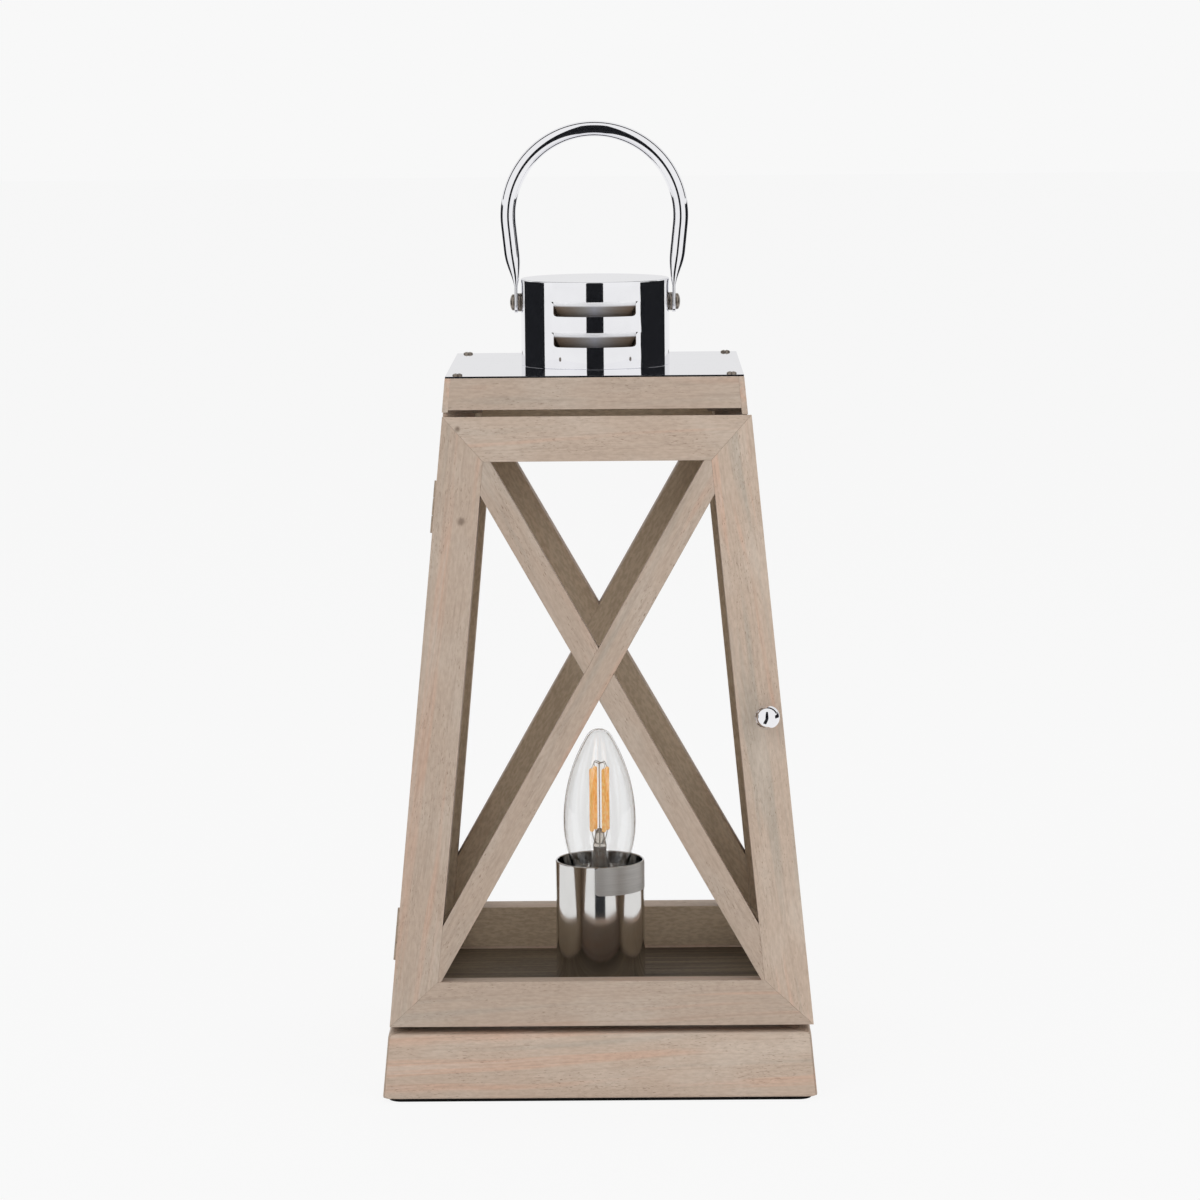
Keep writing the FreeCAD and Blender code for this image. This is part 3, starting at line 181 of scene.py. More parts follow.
def washedWood(place):
    # colour bands wander nearly along the grain; mottling, fibres, pores and knots lie over them
    look = woodLook
    cover = look["cover"]
    grain = attribute(place, "grain", "Vector")
    tone, wash, inside = (attribute(place, name) for name in ("tone", "wash", "inside"))
    turned = {"Vector": grain, "Rotation": (0.0, 0.0, look["slant"])}
    slanted = place.node("ShaderNodeMapping", None, turned)
    sway = grain.noise(look["sway"], 1.0) * look["wave"]
    sideways = place.node("ShaderNodeCombineXYZ", None, {"Y": sway})
    slanted = place.node("ShaderNodeVectorMath", {"operation": "ADD"}, {0: slanted, 1: sideways})
    band = slanted.noise(look["band"], 2.0)
    stops = [
        (0.28, look["grey"]), (0.42, look["beige"]), (0.56, look["beige"]), (0.66, look["pink"]),
        (0.80, look["pale"]),
    ]
    colour = place.node("ShaderNodeValToRGB", {"stops": stops}, {0: band + (tone - 0.5) * 0.6})
    patch = grain.noise(look["patch"], 3.0)
    colour = (patch.step(0.42, 0.74) * cover["patch"]).mix(colour, light(look["pale"]))
    streak = slanted.noise(look["streak"], 1.0).step(0.56, 0.68)
    colour = (streak * cover["streak"]).mix(colour, light(look["line"]))
    mottle = grain.noise(look["mottle"], 4.0)
    colour = mottle.step(0.25, 0.75).mix(colour, look["mottleTint"], "MULTIPLY")
    fibre = grain.noise(look["fibre"], 2.0)
    colour = fibre.step(0.3, 0.7).mix(colour, look["fibreTint"], "MULTIPLY")
    pores = grain.noise(look["pore"], 1.0).step(0.655, 0.72)
    pores = pores * grain.noise(look["poreField"], 1.0).step(0.42, 0.60)  # they gather in fields
    colour = (pores * cover["pore"]).mix(colour, light(look["fleck"]))
    for middle, radius in look["knots"]:
        away = place.node("ShaderNodeVectorMath", {"operation": "DISTANCE"}, {0: place, 1: middle}, "Value")
        core = 1 - (away + (mottle - 0.5) * radius).step(radius * 0.25, radius)
        colour = (core * cover["knot"]).mix(colour, light(look["knot"]))
    # each board is mixed towards a darker colour by its own amount
    colour = (wash * cover["wash"]).mix(colour, light(look["dirt"]))
    # painted shade inside the case: faces turned to its middle take their own colour, then darken in
    # blotches
    colour = (inside * cover["inside"]).mix(colour, light(look["shade"]))
    colour = (inside * mottle.step(0.35, 0.65)).mix(colour, look["insideTint"], "MULTIPLY")
    height = fibre * 0.4 + mottle * 0.4 - pores
    return {
        "Base Color": colour,
        "Roughness": 0.62 + fibre * 0.2,
        "Normal": height.bump(0.0003, 0.4),
    }


innerLook = {  # mark sizes in mm
    "stops": [(0.32, "5d5246"), (0.52, "726656"), (0.72, "847663")],
    "band": (120.0, 4.0, 8.0), "fibre": (18.0, 0.4, 0.4), "speck": (2.6, 0.7, 0.7),
    "fibreTint": (0.82, 0.82, 0.82, 1.0), "speckTint": (0.78, 0.77, 0.76, 1.0),
}


def innerWood(place):
    # raw board inside the case: the same grain, brown and unwashed
    look = innerLook
    grain = attribute(place, "grain", "Vector")
    band = grain.noise(look["band"], 3.0)
    colour = place.node("ShaderNodeValToRGB", {"stops": look["stops"]}, {0: band})
    fibre = grain.noise(look["fibre"], 2.0)
    colour = fibre.step(0.3, 0.7).mix(colour, look["fibreTint"], "MULTIPLY")
    speck = grain.noise(look["speck"], 3.0)
    colour = speck.step(0.4, 0.65).mix(colour, look["speckTint"], "MULTIPLY")
    return {"Base Color": colour, "Roughness": 0.7 + fibre * 0.15, "Normal": fibre.bump(0.0002, 0.3)}


# The finishes below are laid out in metres.

def feltLook(place):
    # short black nap: fine clumps and a few greyer fibres
    nap = place.noise((0.0005, 0.0005, 0.0005), 3.0)
    fibres = place.noise((0.0020, 0.0003, 0.0006), 2.0).step(0.60, 0.72)
    colour = fibres.mix(light("1a1918"), light("3a3835"))
    return {"Base Color": colour, "Roughness": 0.9 + nap * 0.1, "Normal": nap.bump(0.0006, 0.8)}


def polished(tint, rough, smear, wave=0.05):
    # smooth plated metal: faint wiping marks change the gloss, and a tiny ripple bends what it mirrors
    def paint(place):
        wipe = place.noise((0.030, 0.004, 0.012), 3.0)
        ripple = place.noise((0.016, 0.016, 0.016), 1.0)
        shade = wipe.step(0.3, 0.8).mix(light(tint), (0.96, 0.96, 0.96, 1.0), "MULTIPLY")
        parts = {"Base Color": shade, "Roughness": rough + wipe * smear}
        return {**parts, "Normal": ripple.bump(0.0004, wave)} if wave else parts
    return paint


def turnedMetal(tint, worn, rough):
    # machined metal, with fine tool lines and darker handled spots
    def paint(place):
        lines = place.noise((0.006, 0.006, 0.0002), 1.0)
        spots = place.noise((0.003, 0.003, 0.003), 3.0).step(0.5, 0.7)
        shade = (spots * 0.6).mix(light(tint), light(worn))
        return {"Base Color": shade, "Roughness": rough + spots * 0.15, "Normal": lines.bump(0.00005, 0.25)}
    return paint


def mouldedPlastic(place):
    # black moulding with a fine orange-peel skin
    skin = place.noise((0.0006, 0.0006, 0.0006), 2.0)
    shade = place.noise((0.02, 0.02, 0.02), 2.0).mix(light("16161a"), light("232326"))
    return {"Base Color": shade, "Roughness": 0.38 + skin * 0.15, "Normal": skin.bump(0.0001, 0.3)}


def blownGlass(place):
    # clear glass with a trace of haze in the gloss
    haze = place.noise((0.02, 0.02, 0.03), 2.0)
    return {"Roughness": haze * 0.012, "Normal": haze.bump(0.0003, 0.06)}


def phosphor(place):
    # amber coating, a little uneven along the strip; it also gives out a faint painted glow, though the lamp
    # is off
    clump = place.noise((0.0008, 0.0008, 0.0016), 3.0)
    shade = clump.step(0.3, 0.7).mix(light("f2ad54"), light("ffcc84"))
    return {
        "Base Color": shade, "Emission Color": shade, "Roughness": 0.45 + clump * 0.2,
        "Normal": clump.bump(0.0001, 0.3),
    }


def louvreMetal(place):
    # painted highlight, near-white along the fold; below it a dull brown-grey, with a painted reflection
    # that makes it paler and bluer towards the middle of the slot
    drop, side = attribute(place, "drop"), attribute(place, "side")
    lines = place.noise((0.012, 0.012, 0.0004), 2.0)
    # the paler, bluer stops towards the middle of the slot are a painted reflection
    stops = [(0.0, "a3a3ab"), (0.25, "96928f"), (0.5, "857b73"), (0.85, "786656"), (1.0, "66594d")]
    shade = place.node("ShaderNodeValToRGB", {"stops": stops}, {0: side + (lines - 0.5) * 0.25})
    # painted highlight along the fold
    fold = 1 - drop.step(0.22, 0.36)
    shade = fold.mix(shade, light("fbfbfd"))
    return {"Base Color": shade, "Roughness": 0.35 + lines * 0.2, "Metallic": fold * 0.5}


def brushedLabel(place):
    # bare silver-grey foil with a fine brushed line round the cup
    lines = place.noise((0.02, 0.02, 0.00018), 2.0)
    shade = lines.step(0.3, 0.7).mix(light("c0bfbd"), light("d2d1cf"))
    return {"Base Color": shade, "Roughness": 0.34 + lines * 0.12, "Normal": lines.bump(0.00005, 0.2)}


looks = {
    "washed_wood": finish("washedWood", washedWood, Specular_IOR_Level=0.3),
    "inner_wood": finish("innerWood", innerWood, Specular_IOR_Level=0.25),
    "felt": finish("felt", feltLook, Specular_IOR_Level=0.1),
    "bright_metal": finish("brightMetal", polished("f3f3f6", 0.01, 0.05), Metallic=1.0),
    "bail_metal": finish("bailMetal", polished("f3f3f6", 0.04, 0.03, 0.0), Metallic=1.0),
    "louvre_metal": finish("louvreMetal", louvreMetal),
    "inside_metal": finish("insideMetal", turnedMetal("94877b", "6a5f55", 0.5), Metallic=0.4),
    "cup_metal": finish("cupMetal", polished("dcdbd9", 0.05, 0.10), Metallic=1.0),
    "fastener_steel": finish("fastenerSteel", turnedMetal("948a80", "574c43", 0.28), Metallic=1.0),
    "brass": finish("agedBrass", turnedMetal("ab9987", "8f7f6e", 0.5), Metallic=0.35),
    "bulb_cap": finish("bulbCap", turnedMetal("c8c4bb", "8f8a80", 0.3), Metallic=1.0),
    "clear_glass": finish(
        "clearGlass", blownGlass, Base_Color=light("f8f8f8"), Transmission_Weight=1.0, IOR=1.45
    ),
    "stem_glass": finish(
        "stemGlass", blownGlass, Base_Color=light("efe8de"), Transmission_Weight=0.8, IOR=1.5
    ),
    # painted glow: the lamp is off, but the strips give out a little light
    "filament": finish("filament", phosphor, Emission_Strength=0.42),
    "black_plastic": finish("blackPlastic", mouldedPlastic),
    "magnet": finish("magnet", turnedMetal("8d8c8b", "5b5a59", 0.35), Metallic=1.0),
    "label": finish("labelFoil", brushedLabel, Metallic=0.35),
}
slotOf = {part["node"]: part["material_slot"] for part in frame["record"]["subparts"]}
# the record's slot of each finish that it doesn't name itself
print("finishes made:", len(looks))


# Mesh tools

def linked(name, data):
    # a new object, put into the scene
    piece = bpy.data.objects.new(name, data)
    bpy.context.scene.collection.objects.link(piece)
    return piece


def readOut(items, name, width=3, kind=float):
    # one row of numbers for each vertex or face, or a plain list where the width is 1
    values = np.empty(len(items) * width, kind)
    items.foreach_get(name, values)
    return values.reshape(-1, width) if width > 1 else values


def mark(mesh, name, values, domain="POINT"):
    # a new attribute for the finishes to read
    kind, field = ("FLOAT_VECTOR", "vector") if values.ndim > 1 else ("FLOAT", "value")
    mesh.attributes.new(name, kind, domain).data.foreach_set(field, values.ravel())


def addPiece(name, mesh, slot, body, *stoodFor, inner=None):
    # puts a finished mesh into the scene, riding on its body and standing for its nodes
    piece = linked(name, mesh)
    mesh.materials.clear()
    mesh.materials.append(looks[slot])
    if inner:  # the second finish is for the skin that the sheet's thickness added
        mesh.materials.append(looks[inner])
        marks = readOut(mesh.attributes["innerSkin"].data, "value", 1, bool)
        mesh.polygons.foreach_set("material_index", marks.astype(int))
    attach(piece, body)
    if stoodFor:
        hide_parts(*stoodFor)


def gridMesh(name, grids, closedRows=False, crease=35.0, gaps=None):
    # grids: arrays (rows, columns, 3) whose columns join up into rings; quads fill the cells between
    # neighbouring rows, but for those marked in gaps. Doubled points, as at poles, are merged, and normals
    # are made to face outwards.
    points = []
    quads = []
    start = 0
    for grid in grids:
        rows, columns = grid.shape[:2]
        ids = start + np.arange(rows * columns).reshape(rows, columns)
        ids = np.hstack([ids, ids[:, :1]])
        if closedRows:
            ids = np.vstack([ids, ids[:1]])
        cells = np.stack([ids[:-1, :-1], ids[:-1, 1:], ids[1:, 1:], ids[1:, :-1]], -1)
        points.append(grid.reshape(-1, 3))
        quads.append(cells.reshape(-1, 4) if gaps is None else cells[~gaps])
        start += rows * columns
    mesh = bpy.data.meshes.new(name)
    mesh.from_pydata(np.vstack(points).tolist(), [], np.vstack(quads).tolist())
    edit = bmesh.new()
    edit.from_mesh(mesh)
    bmesh.ops.remove_doubles(edit, verts=edit.verts, dist=1e-7)
    bmesh.ops.dissolve_degenerate(edit, edges=edit.edges, dist=1e-8)
    loose = [vertex for vertex in edit.verts if not vertex.link_faces]
    bmesh.ops.delete(edit, geom=loose, context="VERTS")
    bmesh.ops.recalc_face_normals(edit, faces=edit.faces)
    edit.to_mesh(mesh)
    edit.free()
    mesh.shade_smooth()
    mesh.set_sharp_from_angle(angle=np.radians(crease))
    return mesh


def arc(centre, radius, first, last, count=7):
    # points on a circle from one angle to another, in degrees: centre + radius (cos, sin)
    angle = np.radians(np.linspace(first, last, count))
    return np.stack([centre[0] + radius * np.cos(angle), centre[1] + radius * np.sin(angle)], 1)


def placed(grid, centre, axis):
    # turned from Z to the axis, then moved
    tilt = np.array(Vector((0, 0, 1)).rotation_difference(Vector(axis)).to_matrix())
    return grid @ tilt.T + np.asarray(centre)


def turnedGrid(profile, steps, centre=(0.0, 0.0, 0.0), axis=(0.0, 0.0, 1.0)):
    # profile of (radius, height) swept once round: (r cos a, r sin a, h), then turned from Z to the axis
    profile = np.asarray(profile, float)
    angle = np.arange(steps) * 2 * np.pi / steps
    radius = profile[:, :1]
    height = np.repeat(profile[:, 1:], steps, 1)
    grid = np.stack([radius * np.cos(angle), radius * np.sin(angle), height], -1)
    return placed(grid, centre, axis)


def tubeGrid(path, radii, steps):
    # rings round a path: point + r (cos a n1 + sin a n2), where n1 and n2 are square to the path;
    # n2 stays square to one fixed direction, which keeps the rings from twisting
    ahead = np.gradient(path, axis=0)
    ahead /= np.linalg.norm(ahead, axis=1, keepdims=True)
    fixed = np.array([0.31, 0.22, 0.93])
    first = np.cross(ahead, fixed)
    first /= np.linalg.norm(first, axis=1, keepdims=True)
    second = np.cross(ahead, first)
    angle = (np.arange(steps) * 2 * np.pi / steps)[None, :, None]
    spokes = np.cos(angle) * first[:, None] + np.sin(angle) * second[:, None]
    return path[:, None] + np.asarray(radii).reshape(-1, 1, 1) * spokes


def mergedCopy(node):
    # a CAD node's mesh as one closed skin, its flat faces whole again
    mesh = nodes[node].data.copy()
    edit = bmesh.new()
    edit.from_mesh(mesh)
    bmesh.ops.remove_doubles(edit, verts=edit.verts, dist=1e-6)
    bmesh.ops.dissolve_limit(edit, angle_limit=np.radians(0.2), verts=edit.verts, edges=edit.edges)
    edit.to_mesh(mesh)
    edit.free()
    return mesh


def modified(name, mesh, kind, settings):
    # the mesh as one modifier leaves it
    holder = linked(name, mesh)
    modifier = holder.modifiers.new(name, kind)
    for setting, value in settings.items():
        setattr(modifier, setting, value)
    ready = holder.evaluated_get(bpy.context.evaluated_depsgraph_get())
    result = bpy.data.meshes.new_from_object(ready)
    bpy.data.objects.remove(holder)
    return result


def softened(name, mesh, width, segments=2, angle=30.0):
    # the mesh with its sharp edges rounded, and its flat faces kept flat in the shading
    mesh.shade_smooth()
    return modified(name, mesh, "BEVEL", {
        "width": width, "segments": segments, "limit_method": "ANGLE", "angle_limit": np.radians(angle),
        "harden_normals": True,
    })


# Wooden pieces: softened copies of the CAD boards, with their grain laid along each of them

woodSizes = {
    "edge": 0.00022, "baseEdge": 0.0013, "shift": 400.0,  # edges in metres, the grain's random start in mm
    "toneMiddle": 0.50, "toneSpread": 0.10, "washes": (0.1, 0.5),
    "tones": {  # from greyer to pinker, and how much darker: boards that the photograph tells apart
        "door_top_rail": (0.44, 0.28), "door_bottom_rail": (0.48, 0.68),
        "door_hinge_stile": (0.56, 0.60), "door_knob_stile": (0.42, 0.0),
        "door_rising_brace": (0.48, 0.62), "door_falling_brace": (0.48, 0.75),
        "cap_front_board": (0.50, 0.60), "base_front_board": (0.56, 0.05),
    },
}


def layGrain(mesh, tone, wash, innerSide, shift=woodSizes["shift"]):
    # grain = (point - centre) . the piece's own long, middle and short axes, in mm; the axes are the
    # eigenvectors of its faces' spread, weighted by area. inside = innerSide on faces turned to the middle
    # of the case, and 0 on the others; it places the painted shade inside the case
    centres = readOut(mesh.polygons, "center")
    areas = readOut(mesh.polygons, "area", 1)
    normals = readOut(mesh.polygons, "normal")
    middle = np.average(centres, axis=0, weights=areas)
    spread = np.cov((centres - middle).T, aweights=areas)
    axes = np.linalg.eigh(spread)[1][:, ::-1]
    points = readOut(mesh.vertices, "co")
    mark(mesh, "grain", (points - middle) @ axes * 1000 + chance.uniform(-shift, shift, 3))
    for name, value in (("tone", tone), ("wash", wash)):
        mark(mesh, name, np.full(len(points), value))
    inward = -centres * (1, 1, 0)
    inward /= np.linalg.norm(inward, axis=1, keepdims=True) + 1e-9
    facing = np.sum(inward * normals, 1) > 0.5
    corners = readOut(mesh.polygons, "loop_total", 1, int)
    mark(mesh, "inside", np.repeat(facing * innerSide, corners), "CORNER")


for node, slot in slotOf.items():
    if slot not in ("washed_wood", "inner_wood"):
        continue
    width = woodSizes["baseEdge"] if node.startswith("base") else woodSizes["edge"]
    mesh = softened(node + "Soft", mergedCopy(node), width)
    spread = woodSizes["toneSpread"]
    drawn = woodSizes["toneMiddle"] + chance.uniform(-spread, spread), chance.uniform(*woodSizes["washes"])
    tone, wash = woodSizes["tones"].get(node, drawn)
    # door and base boards get no painted shade on their inner faces
    layGrain(mesh, tone, wash, 0.0 if node.startswith(("door", "base")) else 1.0)
    addPiece(node + "Wood", mesh, slot, bodyOf[node], node)
print("wooden pieces made")


# Chimney cap: one pressed sheet with two pairs of louvres

chimneySizes = {
    "sheet": 0.0008, "rim": 0.0007, "vent": 0.021, "slotHalf": 0.0192, "slotTall": 0.0068,
    "slotLow": 0.0101, "pitch": 0.01425, "corner": 0.0016, "ear": 0.0010,
    "flapTurn": 40.0, "flapBend": 0.0030, "flapLong": 1.25,  # the flap's length in slot heights
    "spread": 7.0,  # degrees beside a slot over which the grid gives way
    "footRound": 0.0002, "lowRows": (0.0005, 0.005), "highRow": 0.003,  # rows above the foot, below the top
}
chimneyLow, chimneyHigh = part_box("chimney_cap")


def slotEdge(rise):
    # how far a slot's side stands in from its full width: a quarter circle at the foot, less a point
    # at the top
    sizes = chimneySizes
    low = np.clip(sizes["corner"] - rise, 0, None)
    rounded = sizes["corner"] - np.sqrt(sizes["corner"] ** 2 - low ** 2)
    return rounded - np.clip(rise - sizes["slotTall"] + sizes["ear"], 0, None)


def chimneySkin():
    # (r sin u, -r cos u, z) over an angle u from the front and a profile (r, z); near the slots u is pushed
    # sideways, so that one column of the grid follows the slot's side, and the cells between are left out
    sizes = chimneySizes
    radius = chimneyHigh.x
    base, top = chimneyLow.z, chimneyHigh.z
    edge = np.degrees(np.arcsin(sizes["slotHalf"] / radius))
    across = np.concatenate([np.linspace(-edge, edge, 41)[:-1], np.linspace(edge, 180 - edge, 61)[:-1]])
    turn = np.concatenate([across, across + 180])

    earLow = sizes["slotTall"] - sizes["ear"]
    rise = np.concatenate([
        np.linspace(0, sizes["corner"], 7)[:-1], np.linspace(sizes["corner"], earLow, 4),
        [earLow + sizes["ear"] / 2, sizes["slotTall"]],
    ])
    starts = base + sizes["slotLow"] + np.array([0.0, sizes["pitch"]])
    slotRows = [start + rise for start in starts]
    levels = np.concatenate([base + np.array(sizes["lowRows"]), *slotRows, [top - sizes["highRow"]]])
    inset = np.concatenate([[0, 0], slotEdge(rise), slotEdge(rise), [0]])
    openRows = np.append(np.ones(len(rise) - 1), 0)
    openRows = np.concatenate([[0, 0], openRows, openRows, [0]]).astype(bool)

    rim = arc((radius - sizes["rim"], top - sizes["rim"]), sizes["rim"], 0, 90, 8)
    foot = sizes["footRound"]
    before = np.array([(sizes["vent"], base), (radius - foot, base), (radius, base + foot)])
    disc = np.stack([np.linspace(radius - sizes["rim"], 0, 12)[1:], np.full(11, top)], 1)
    profile = np.vstack([before, np.stack([np.full(len(levels), radius), levels], 1), rim, disc])
    late = len(rim) + len(disc)
    inset = np.concatenate([np.zeros(3), inset, np.zeros(late)])
    openRows = np.concatenate([np.zeros(3, bool), openRows, np.zeros(late, bool)])

    folded = (turn + 90) % 180 - 90
    nearness = np.clip(1 - np.abs(np.abs(folded) - edge) / sizes["spread"], 0, 1)
    swing = np.degrees(inset[:, None] / (radius * np.cos(np.radians(edge))))
    pushed = swing * nearness * np.sign(folded)
    angle = np.radians(turn - pushed)
    grid = np.stack([profile[:, :1] * np.sin(angle), -profile[:, :1] * np.cos(angle),
                     profile[:, 1:] + 0 * angle], -1)
    overSlot = np.abs(folded + 0.01) < edge  # nudged, so that the column on the slot's far side stays shut
    return grid, openRows[:-1, None] & overSlot[None, :]


def louvreFlaps():
    # each flap: a strip bent inwards on a small radius, (r, z) along it, carried round the slot's width
    sizes = chimneySizes
    radius = chimneyHigh.x
    half, bend = sizes["sheet"] / 2, sizes["flapBend"]
    turn = np.radians(np.linspace(0, sizes["flapTurn"], 12))
    final = turn[-1]
    straight = sizes["slotTall"] * sizes["flapLong"] - bend * final
    r = np.append(bend * (1 - np.cos(turn)), bend * (1 - np.cos(final)) + straight * np.sin(final))
    z = np.append(bend * np.sin(turn), bend * np.sin(final) + straight * np.cos(final))
    slope = np.append(turn, final)
    outer = np.stack([radius - half - r + half * np.cos(slope), -z - half * np.sin(slope)], 1)
    inner = np.stack([radius - half - r - half * np.cos(slope), -z + half * np.sin(slope)], 1)
    loop = np.vstack([outer, inner[::-1]])
    edge = np.arcsin(sizes["slotHalf"] / radius)
    flaps = []
    for facing in (0, np.pi):
        for tier in (0, 1):
            high = chimneyLow.z + sizes["slotLow"] + sizes["slotTall"] + tier * sizes["pitch"]
            angle = facing + np.linspace(-edge, edge, 41)[:, None]
            grid = np.stack([loop[:, 0] * np.sin(angle), -loop[:, 0] * np.cos(angle),
                             high + loop[:, 1] + 0 * angle], -1)
            ends = grid[[0, -1]].mean(1, keepdims=True) + 0 * grid[[0, -1]]
            flaps.append(np.concatenate([ends[:1], grid, ends[1:]]))
    return flaps


def thickened(name, mesh, depth):
    # the sheet with its thickness inside, and the faces of its inner skin marked
    mesh.attributes.new("innerSkin", "BOOLEAN", "FACE")
    result = modified(name, mesh, "SOLIDIFY", {"thickness": depth, "offset": -1})
    face = np.arange(len(result.polygons))  # first the outer skin, then the inner one, then the rims
    count = len(mesh.polygons)
    result.attributes["innerSkin"].data.foreach_set("value", (face >= count) & (face < 2 * count))
    result.set_sharp_from_angle(angle=np.radians(40))
    return result


skin, gaps = chimneySkin()
shell = gridMesh("chimney", [skin], gaps=gaps)
addPiece("chimneyCap", thickened("chimneyCap", shell, chimneySizes["sheet"]), "bright_metal", "root",
         "chimney_cap", inner="inside_metal")
flapMesh = gridMesh("louvreFlaps", louvreFlaps(), crease=50.0)
points = readOut(flapMesh.vertices, "co")
# side = |x| / half the slot's width; drop = depth below the fold / the slot's height; they place the flaps'
# painted reflection and painted highlight
fold = chimneyLow.z + chimneySizes["slotLow"] + chimneySizes["slotTall"]
folds = fold + np.array([0, chimneySizes["pitch"]])
upper = points[:, 2] > fold + 0.0015  # a level over the lower flaps and under the upper ones
drop = (np.where(upper, folds[1], folds[0]) - points[:, 2]) / chimneySizes["slotTall"]
mark(flapMesh, "side", np.abs(points[:, 0]) / chimneySizes["slotHalf"])
mark(flapMesh, "drop", drop)
addPiece("louvreFlaps", flapMesh, "louvre_metal", "root")


# Plate and fittings: softened copies of the CAD pieces

fittingSizes = {"edge": 0.00012, "plateEdge": 0.00015}
plate = softened("topPlate", mergedCopy("top_plate"), fittingSizes["plateEdge"])
plate.shade_flat()
addPiece("topPlate", plate, "bright_metal", "root", "top_plate")
for node in ("felt_pad", "lampholder", "nipple", "cable_gland", "hinge_door_leaves", "hinge_frame_leaves",
             "hinge_pins", "knob_screw", "strike_plate", "catch_magnet", "chimney_screws", "bail_nuts",
             "nipple_nuts", "holder_contact", "bulb_cap"):
    mesh = softened(node + "Soft", mergedCopy(node), fittingSizes["edge"], 1, 40.0)
    addPiece(node + "Fitting", mesh, slotOf[node], bodyOf[node], node)
print("fittings made")


# Screws of the plate and of the bail: low domes, the plate's with crossed slots

screwSizes = {
    "plateHead": 0.0023, "plateRise": 0.0011, "slotWide": 0.00032, "slotLong": 0.0014, "slotDeep": 0.0007,
    "slotSides": 1.6, "slotEnds": 3.0, "endSlope": 2.2,  # how steeply the slot's floor comes up
    "pivotHead": 0.0038, "pivotRise": 0.0020, "shank": 0.0019, "shankLong": 0.0075, "overlap": 0.0003,
}


def slotArm(across, along):
    # 1 on the floor of a straight trough, falling off evenly to 0 at its sides and ends
    sizes = screwSizes
    sides = sizes["slotSides"] - np.abs(across) / sizes["slotWide"]
    ends = sizes["slotEnds"] - sizes["endSlope"] * np.abs(along) / sizes["slotLong"]
    return np.clip(sides, 0, 1) * np.clip(ends, 0, 1)


def screwHead(centre, axis, radius, rise, slot=0.0):
    # dome h = rise (0.35 + 0.65 (1 - (r/R)^2) ^ 0.6), less a cross of two troughs
    rings, steps = 28, 72
    share = np.linspace(0, 1, rings)[:, None]
    angle = np.linspace(0, 2 * np.pi, steps, endpoint=False)[None, :] + np.pi / 5
    x = radius * share * np.cos(angle)
    y = radius * share * np.sin(angle)
    height = rise * (0.35 + 0.65 * (1 - share ** 2) ** 0.6) + 0 * angle
    height = height - slot * np.maximum(slotArm(x, y), slotArm(y, x))
    top = np.stack([x, y, height], -1)
    foot = top[-1:] * (1, 1, 0)
    base = foot * (0, 0, 1)
    return placed(np.concatenate([top, foot, base]), centre, axis)


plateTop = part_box("top_plate")[1].z
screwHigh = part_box("plate_screws")[1]
spot = screwHigh.x - screwSizes["plateHead"]
heads = [
    screwHead((x * spot, y * spot, plateTop), (0, 0, 1), screwSizes["plateHead"], screwSizes["plateRise"],
              screwSizes["slotDeep"])
    for x in (-1, 1) for y in (-1, 1)
]
addPiece("plateScrewHeads", gridMesh("plateScrewHeads", heads), "fastener_steel", "root", "plate_screws")

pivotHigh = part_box("bail_pivot_screws")[1]
pivotLevel = frame["joints"][1]["pos_m"][2]
seat = pivotHigh.x - screwSizes["pivotRise"]
heads = [
    screwHead((side * seat, 0, pivotLevel), (side, 0, 0), screwSizes["pivotHead"], screwSizes["pivotRise"])
    for side in (-1, 1)
]
for side in (-1, 1):  # the shanks, through the bail and the chimney's wall
    radius, reach = screwSizes["shank"], screwSizes["shankLong"]
    shank = [(0.0, 0.0), (radius, 0.0), (radius, reach), (0.0, reach)]
    start = (side * (seat + screwSizes["overlap"]), 0, pivotLevel)
    heads.append(turnedGrid(shank, 32, start, (-side, 0, 0)))
pivots = gridMesh("bailPivotScrews", heads)
addPiece("bailPivotScrews", pivots, "fastener_steel", "root", "bail_pivot_screws")


# Bail: a tube whose ends are pressed flat and rounded

bailSizes = {
    "tube": 0.00365, "bend": 0.04065, "lean": 6.0, "flatHalf": 0.0009, "flatWide": 0.005,
    "flatLong": 0.0078, "crush": 0.0160, "gap": 0.0012,
    "flatSquare": 0.28,  # the section's exponent e: 1 is round, and less is squarer
}


